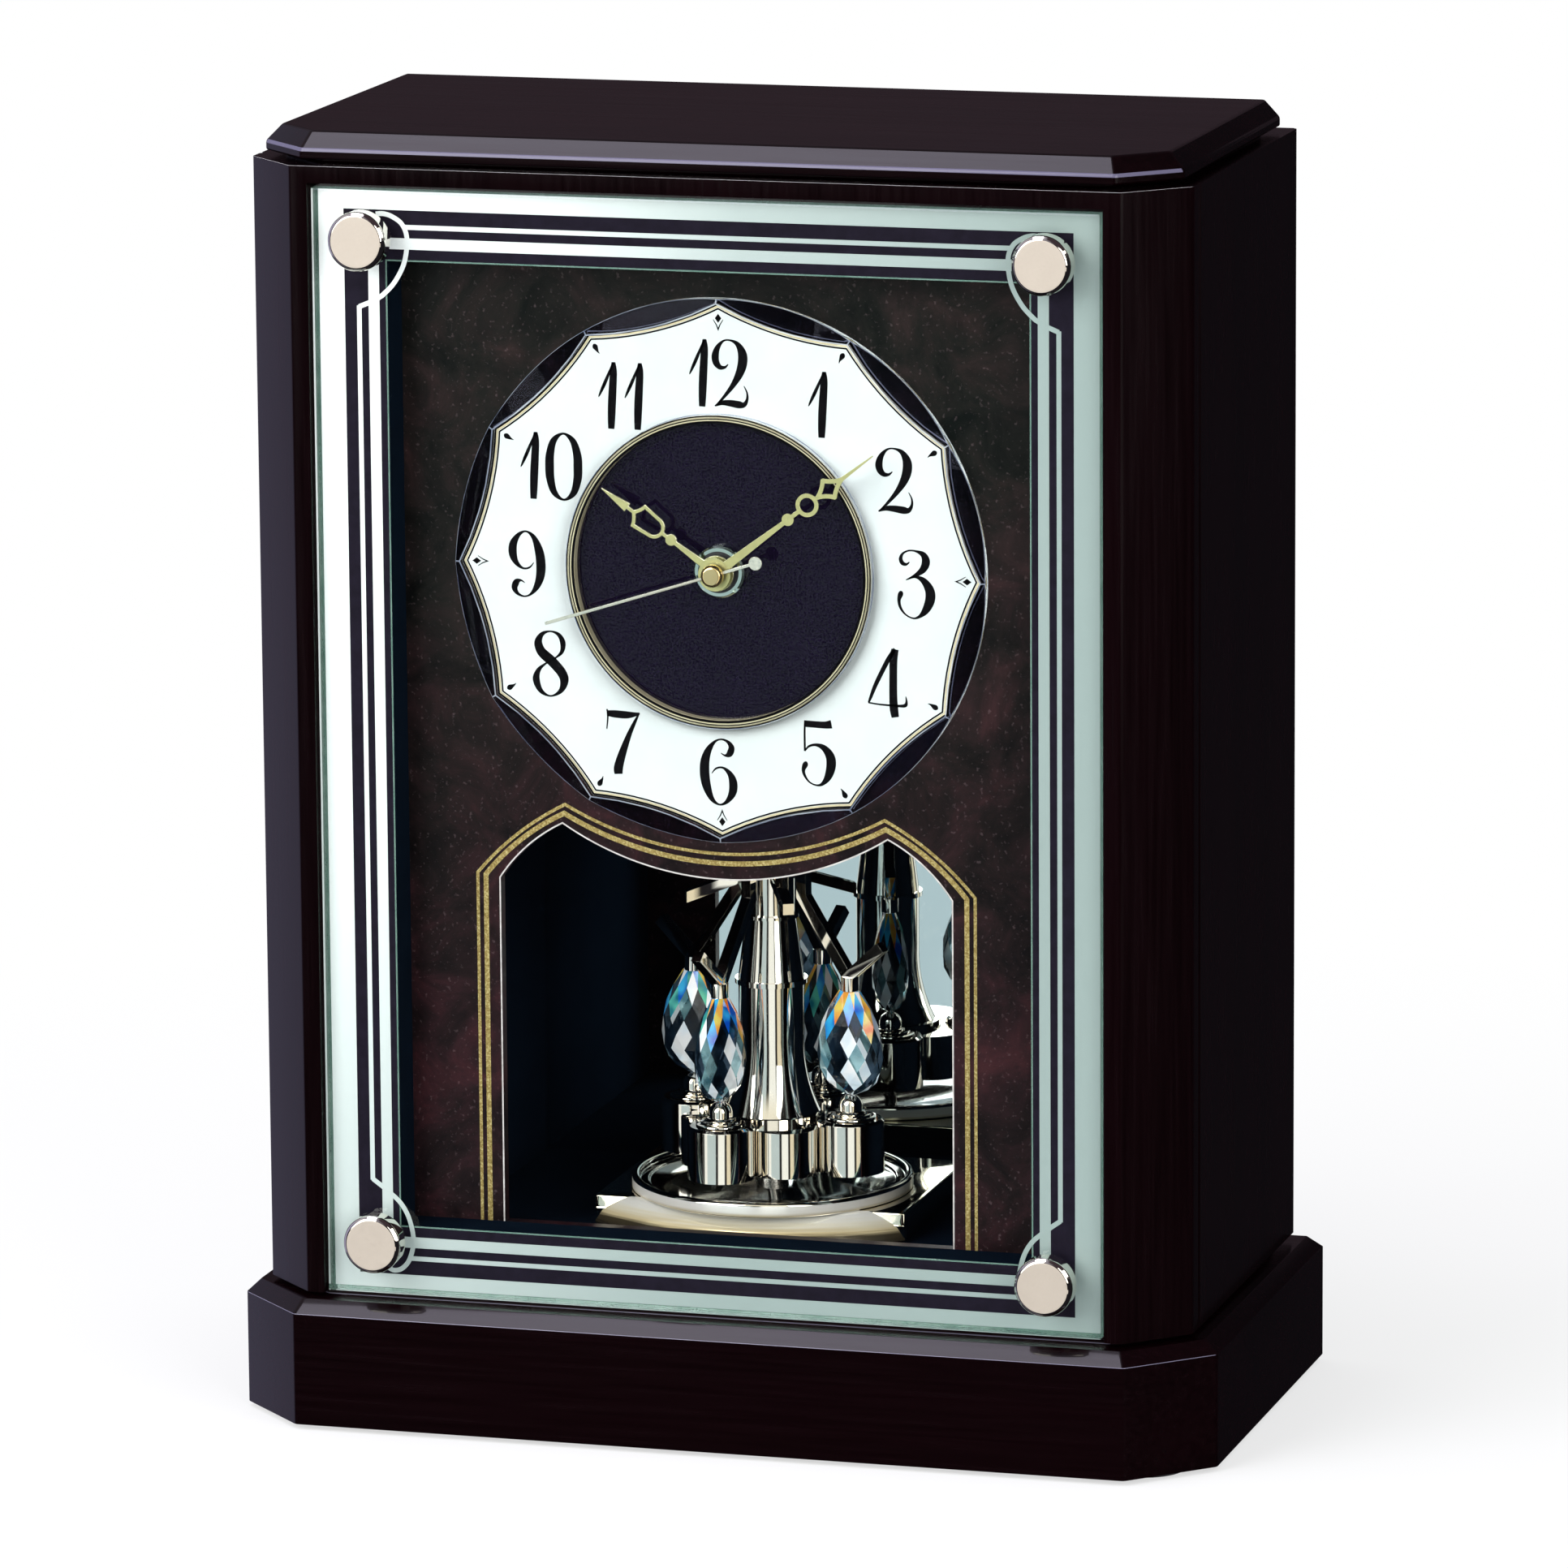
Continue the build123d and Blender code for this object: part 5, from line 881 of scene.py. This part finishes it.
# strokes of each digit, drawn over a box (width, height) from its upper left: points (x, down, width)
DIGITS = {
    "1": ((60, 215), [
        [(50, 2, 12), (50, 30, 22), (47, 80, 25), (44, 130, 26), (42, 180, 24), (41, 212, 20)],
        [(50, 4, 6), (34, 40, 9), (20, 72, 11), (8, 98, 8), (1, 113, 3)],
        [(22, 70, 7), (15, 80, 7), (9, 84, 2)],
    ]),
    "2": ((195, 360), [
        [(86, 130, 5), (68, 146, 14), (42, 146, 26), (22, 122, 36), (18, 85, 38), (32, 42, 26),
         (62, 9, 11), (98, 5, 10), (136, 24, 26), (160, 70, 46), (161, 122, 50), (144, 178, 42),
         (110, 238, 27), (64, 298, 16), (24, 343, 10)],
        [(14, 349, 8), (52, 332, 24), (95, 332, 34), (140, 338, 38), (168, 337, 26), (184, 310, 15),
         (184, 275, 9), (168, 240, 4)],
    ]),
    "3": ((195, 370), [
        [(63, 65, 5), (46, 78, 14), (26, 72, 22), (17, 48, 20), (29, 20, 12), (60, 4, 9), (98, 6, 12),
         (136, 24, 32), (149, 62, 44), (132, 104, 36), (92, 136, 18), (44, 162, 5)],
        [(56, 154, 5), (98, 144, 14), (138, 164, 34), (168, 212, 50), (170, 264, 52), (148, 318, 40),
         (116, 354, 18), (82, 366, 9), (42, 348, 9), (15, 312, 14), (7, 272, 18), (16, 238, 28),
         (20, 222, 12)],
    ]),
    "4": ((210, 382), [
        [(146, 6, 20), (112, 62, 25), (74, 138, 24), (40, 212, 22), (16, 276, 16), (5, 304, 9)],
        [(146, 8, 40), (138, 70, 42), (136, 170, 42), (136, 270, 43), (139, 330, 46), (146, 378, 40)],
        [(3, 304, 8), (60, 311, 9), (120, 314, 11), (174, 315, 15), (200, 310, 19), (206, 290, 12),
         (202, 262, 4)],
    ]),
    "5": ((187, 360), [
        [(15, 24, 36), (70, 26, 36), (130, 27, 38), (166, 21, 46)],
        [(19, 8, 9), (17, 80, 11), (18, 172, 11)],
        [(18, 172, 6), (40, 146, 12), (80, 136, 16), (125, 152, 34), (158, 196, 50), (162, 250, 52),
         (145, 306, 40), (115, 344, 20), (84, 354, 10), (44, 340, 9), (17, 306, 14), (9, 274, 20),
         (20, 244, 30), (25, 228, 10)],
    ]),
    "6": ((195, 362), [
        [(110, 78, 4), (132, 90, 12), (155, 80, 34), (166, 48, 32), (149, 18, 18), (114, 4, 9),
         (78, 18, 14), (45, 62, 34), (25, 122, 48), (22, 192, 52), (33, 262, 46), (60, 328, 26),
         (100, 357, 10), (140, 338, 22), (170, 288, 42), (173, 232, 44), (155, 186, 28), (120, 157, 12),
         (84, 162, 10), (60, 190, 4)],
    ]),
    "7": ((188, 360), [
        [(8, 4, 8), (12, 45, 9), (6, 113, 6)],
        [(10, 26, 30), (55, 29, 40), (115, 31, 38), (160, 26, 22), (184, 20, 9)],
        [(180, 21, 8), (156, 70, 18), (127, 135, 27), (101, 205, 37), (78, 275, 46), (66, 325, 50),
         (67, 356, 44)],
    ]),
    "8": ((192, 362), [
        [(103, 168, 54), (153, 225, 52), (168, 272, 46), (148, 327, 25), (95, 357, 9), (43, 332, 25),
         (18, 272, 38), (30, 220, 25), (66, 184, 11), (124, 147, 10), (157, 112, 21), (162, 62, 30),
         (139, 20, 20), (95, 5, 9), (52, 22, 23), (31, 66, 42), (44, 112, 50), (74, 143, 54)],
    ]),
    "0": ((115, 220), [
        [(57, 4, 7), (88, 26, 20), (102, 70, 27), (104, 110, 29), (102, 150, 27), (88, 194, 20),
         (57, 216, 7), (26, 194, 20), (13, 150, 27), (11, 110, 29), (13, 70, 27), (26, 26, 20)],
    ]),
}
CLOSED_DIGITS = "08"
six_box, six_strokes = DIGITS["6"]
DIGITS["9"] = (six_box, [[(six_box[0] - x, six_box[1] - z, w) for x, z, w in stroke]
                         for stroke in six_strokes])


def numeral(bm, digit, left, top, width, height):
    (box_w, box_h), strokes = DIGITS[digit]
    scale_x, scale_z = width / box_w, height / box_h
    closed = digit in CLOSED_DIGITS
    for stroke in strokes:
        fine = smooth_line(stroke, closed, 7)
        points = [(left + x * scale_x, top - z * scale_z) for x, z, w in fine]
        widths = [max(w, 1.0) * (scale_x + scale_z) / 2 for x, z, w in fine]
        line(bm, points, widths, ink_front, ring_y, closed)


# centre from the dial's, width and height of each hour
NUMERALS = {
    "12": (0.1, 37.0, 11.5, 12.9), "1": (19.0, 31.9, 3.7, 12.6), "2": (33.6, 18.3, 7.3, 12.3),
    "3": (37.6, -0.9, 7.1, 12.9), "4": (32.0, -19.5, 7.6, 13.2), "5": (18.7, -33.4, 6.5, 12.6),
    "6": (-0.6, -37.9, 7.1, 12.7), "7": (-19.1, -33.1, 6.8, 12.5), "8": (-33.1, -18.9, 7.0, 12.6),
    "9": (-37.5, -0.2, 7.0, 12.6), "10": (-32.6, 18.4, 11.8, 12.9), "11": (-18.9, 32.1, 8.7, 12.8),
}
DIGIT_WIDTHS = {"0": 6.8, "1": 3.6, "2": 7.1}  # in the hours of two digits
for text, (cx, cz, width, height) in NUMERALS.items():
    left = dial_x + cx - width / 2
    top = dial_z + cz + height / 2
    if len(text) == 1:
        numeral(bm, text, left, top, width, height)
    else:
        last_w = DIGIT_WIDTHS[text[1]]
        numeral(bm, text[0], left, top, DIGIT_WIDTHS[text[0]], height)
        numeral(bm, text[1], left + width - last_w, top, last_w, height)
new_piece("ring_numerals", bm, ink, "case")

# Dark lines along the edges of the gilt centre ring and between its two beads
bm = bmesh.new()
for inset, width in ((0.12, 0.24), (0.65, 0.22), (1.27, 0.46)):
    line(bm, circle(dial_x, dial_z, gilt_radius - inset), width, gilt_low.y - FILM, gilt_low.y, True)
new_piece("center_ring_line", bm, ink, "case")


# -------------------------------- studio, in metres

floor_look = Look("studio_floor", Roughness=0.9, Specular_IOR_Level=0.0)
floor_look.mottle(floor_look.noise(3.0, 2.0), (0.3, (0.93, 0.93, 0.93)), (0.7, (0.95, 0.95, 0.95)))
# seen by the camera, the floor turns to plain white away from the object's shadow
far = floor_look.add("VectorMath", operation="LENGTH")
floor_look.join(floor_look.place((1, 1, 0)), far.inputs[0])
white_part = floor_look.span(far.outputs["Value"], 0.10, 0.42, 0.62, 1.0)
ray = floor_look.add("LightPath").outputs
seen = floor_look.math("MAXIMUM", ray["Is Camera Ray"], ray["Is Transmission Ray"])
white = floor_look.add("Emission").outputs[0]
lit = floor_look.mix(floor_look.math("MULTIPLY", white_part, seen), floor_look.skin.outputs[0], white)
floor_look.join(lit, floor_look.out.inputs[0])
FLOOR_HALF, FLOOR_Z = 6, -0.0002  # just under the feet
corners = [(x * FLOOR_HALF, y * FLOOR_HALF, FLOOR_Z) for x, y in ((-1, -1), (1, -1), (1, 1), (-1, 1))]
floor_mesh = bpy.data.meshes.new("studio_floor")
floor_mesh.from_pydata(corners, [], [(0, 1, 2, 3)])
floor_mesh.materials.append(floor_look.mat)
floor = in_scene("studio_floor", floor_mesh)
# shiny surfaces see the studio around them instead of the floor
floor.visible_glossy = False

MIDDLE = (0, 0, 0.12)  # of the clock


def softbox(name, place, size, power, tint=FULL):
    """A square lamp that faces the middle of the clock."""
    data = bpy.data.lights.new(name, "AREA")
    data.shape = "RECTANGLE"
    data.size, data.size_y = size, size
    data.energy = power
    data.color = tint
    lamp = in_scene(name, data)
    lamp.location = place
    lamp.rotation_euler = (Vector(MIDDLE) - Vector(place)).to_track_quat("-Z", "Y").to_euler()


softbox("overhead", (-0.38, -0.32, 1.35), 0.55, 4.2, (0.82, 0.77, 1.0))
softbox("front_left", (-1.0, -1.5, 0.9), 1.4, 33.0)
softbox("front_right", (1.4, -1.2, 0.7), 1.3, 20.0)

# The studio's dark flags and pale screens stand all round, as a shell that only shiny surfaces and
# glass see. They are placed by compass direction: 0 is straight in front of the clock, positive to
# its right, in degrees. Surfaces behind the front glass see the paler set of screens.
SHELL_R = 8.0
ball = bmesh.new()
bmesh.ops.create_uvsphere(ball, u_segments=64, v_segments=32, radius=SHELL_R)
ball_mesh = bpy.data.meshes.new("studio_screens")
ball.to_mesh(ball_mesh)
ball.free()
screen_mat = bpy.data.materials.new("studio_screens")
shell = Shader(screen_mat)
screen_mat.cycles.emission_sampling = "NONE"
ball_mesh.materials.append(screen_mat)
studio_screens = in_scene("studio_screens", ball_mesh)
studio_screens.location = MIDDLE
for kind in ("camera", "diffuse", "shadow", "volume_scatter"):
    setattr(studio_screens, "visible_" + kind, False)

look_way = shell.add("TexCoord").outputs["Object"]
heading = shell.add("VectorMath", operation="NORMALIZE")
shell.join(look_way, heading.inputs[0])
parts = shell.add("SeparateXYZ")
shell.join(heading.outputs[0], parts.inputs[0])
around = shell.math("ARCTAN2", parts.outputs["X"], shell.math("MULTIPLY", parts.outputs["Y"], -1.0))
compass = shell.math("MULTIPLY_ADD", around, 1 / (2 * pi), 0.5)


def screens(*stops):
    """Colours round the compass: stops are (degrees, colour), blended from one to the next."""
    return shell.ramp(compass, [((degrees + 180) / 360, colour) for degrees, colour in stops])


DARK, DUSK, HAZE = (0.012, 0.011, 0.014), (0.052, 0.036, 0.045), (0.62, 0.73, 0.77)
WHITE, CREAM, GREY = (1.15, 1.15, 1.12), (1.0, 0.88, 0.66), (0.40, 0.42, 0.42)
LILAC, PLUM, VIOLET = (0.46, 0.44, 0.52), (0.20, 0.19, 0.29), (0.36, 0.34, 0.50)
outer_screens = screens(
    (-180, DUSK), (-150, DUSK), (-135, PLUM), (-112, VIOLET), (-88, VIOLET), (-70, DARK), (172, DARK),
    (180, DUSK))
inner_screens = screens(
    (-180, DUSK), (-128, DUSK), (-122, GREY), (-104, GREY), (-99, DARK), (-95, WHITE), (-84, WHITE),
    (-79, DARK), (-64, DARK), (-61, CREAM), (-50, WHITE), (-47, DARK), (-43, DARK), (-41, WHITE),
    (-33, WHITE), (-30, HAZE), (-3, HAZE), (-1, DARK), (5, DARK), (7, WHITE), (27, WHITE), (29, DARK),
    (34, DARK), (36, CREAM), (56, CREAM), (60, DARK), (66, GREY), (88, GREY), (93, DARK), (103, WHITE),
    (114, WHITE), (119, DUSK))
ray = shell.add("LightPath").outputs
through_glass = shell.math("GREATER_THAN", ray["Transparent Depth"], 0.5)
inside = shell.math("MULTIPLY", through_glass, shell.math("SUBTRACT", 1.0, ray["Is Singular Ray"]))
level_light = shell.blend(inside, outer_screens, inner_screens)
# higher up the screens give way to a soft ceiling
outer_ceiling = screens((-180, DUSK), (-70, LILAC), (-20, LILAC), (20, DUSK), (180, DUSK))
ceiling = shell.blend(inside, outer_ceiling, (1.1, 1.03, 0.88))
rise = shell.span(parts.outputs["Z"], 0.28, 0.62, curve="SMOOTHSTEP")
glow = shell.add("Emission")
shell.join(shell.blend(rise, level_light, ceiling), glow.inputs["Color"])
shell.join(glow.outputs[0], shell.add("OutputMaterial").inputs[0])

# The world: white for the camera, metal and glass, and an even fill for matt surfaces
world = bpy.data.worlds.new("studio")
bpy.context.scene.world = world
sky = Shader(world)
shown = sky.add("Background")
sky.join(FULL, shown.inputs["Color"])
fill = sky.add("Background")
sky.join((0.96, 0.98, 1), fill.inputs["Color"])
sky.join(0.62, fill.inputs["Strength"])
ray = sky.add("LightPath").outputs
mirrored = sky.math("MAXIMUM", ray["Is Glossy Ray"], ray["Is Transmission Ray"])
white_rays = sky.math("MAXIMUM", ray["Is Camera Ray"], mirrored)
sky.join(sky.mix(white_rays, fill.outputs[0], shown.outputs[0]), sky.add("OutputWorld").inputs[0])

# -------------------------------- camera at the photograph's viewing angle

YAW, PITCH, ROLL = radians(16.24), radians(11.37), radians(-0.42)
forward = Vector((-sin(YAW) * cos(PITCH), cos(YAW) * cos(PITCH), -sin(PITCH)))
flat_right = Vector((cos(YAW), sin(YAW), 0))
flat_up = flat_right.cross(forward)
right = cos(ROLL) * flat_right + sin(ROLL) * flat_up
up = right.cross(forward)
EYE = Vector((0.5240, -1.7927, 0.4940))
camera_data = bpy.data.cameras.new("camera")
camera_data.lens = 231.2
camera_data.sensor_width = 36.0
camera_data.clip_end = 50.0
camera = in_scene("camera", camera_data)
camera.matrix_world = Matrix((
    (right.x, up.x, -forward.x, EYE.x),
    (right.y, up.y, -forward.y, EYE.y),
    (right.z, up.z, -forward.z, EYE.z),
    (0, 0, 0, 1),
))
bpy.context.scene.camera = camera
bpy.context.scene.view_settings.view_transform = "Standard"
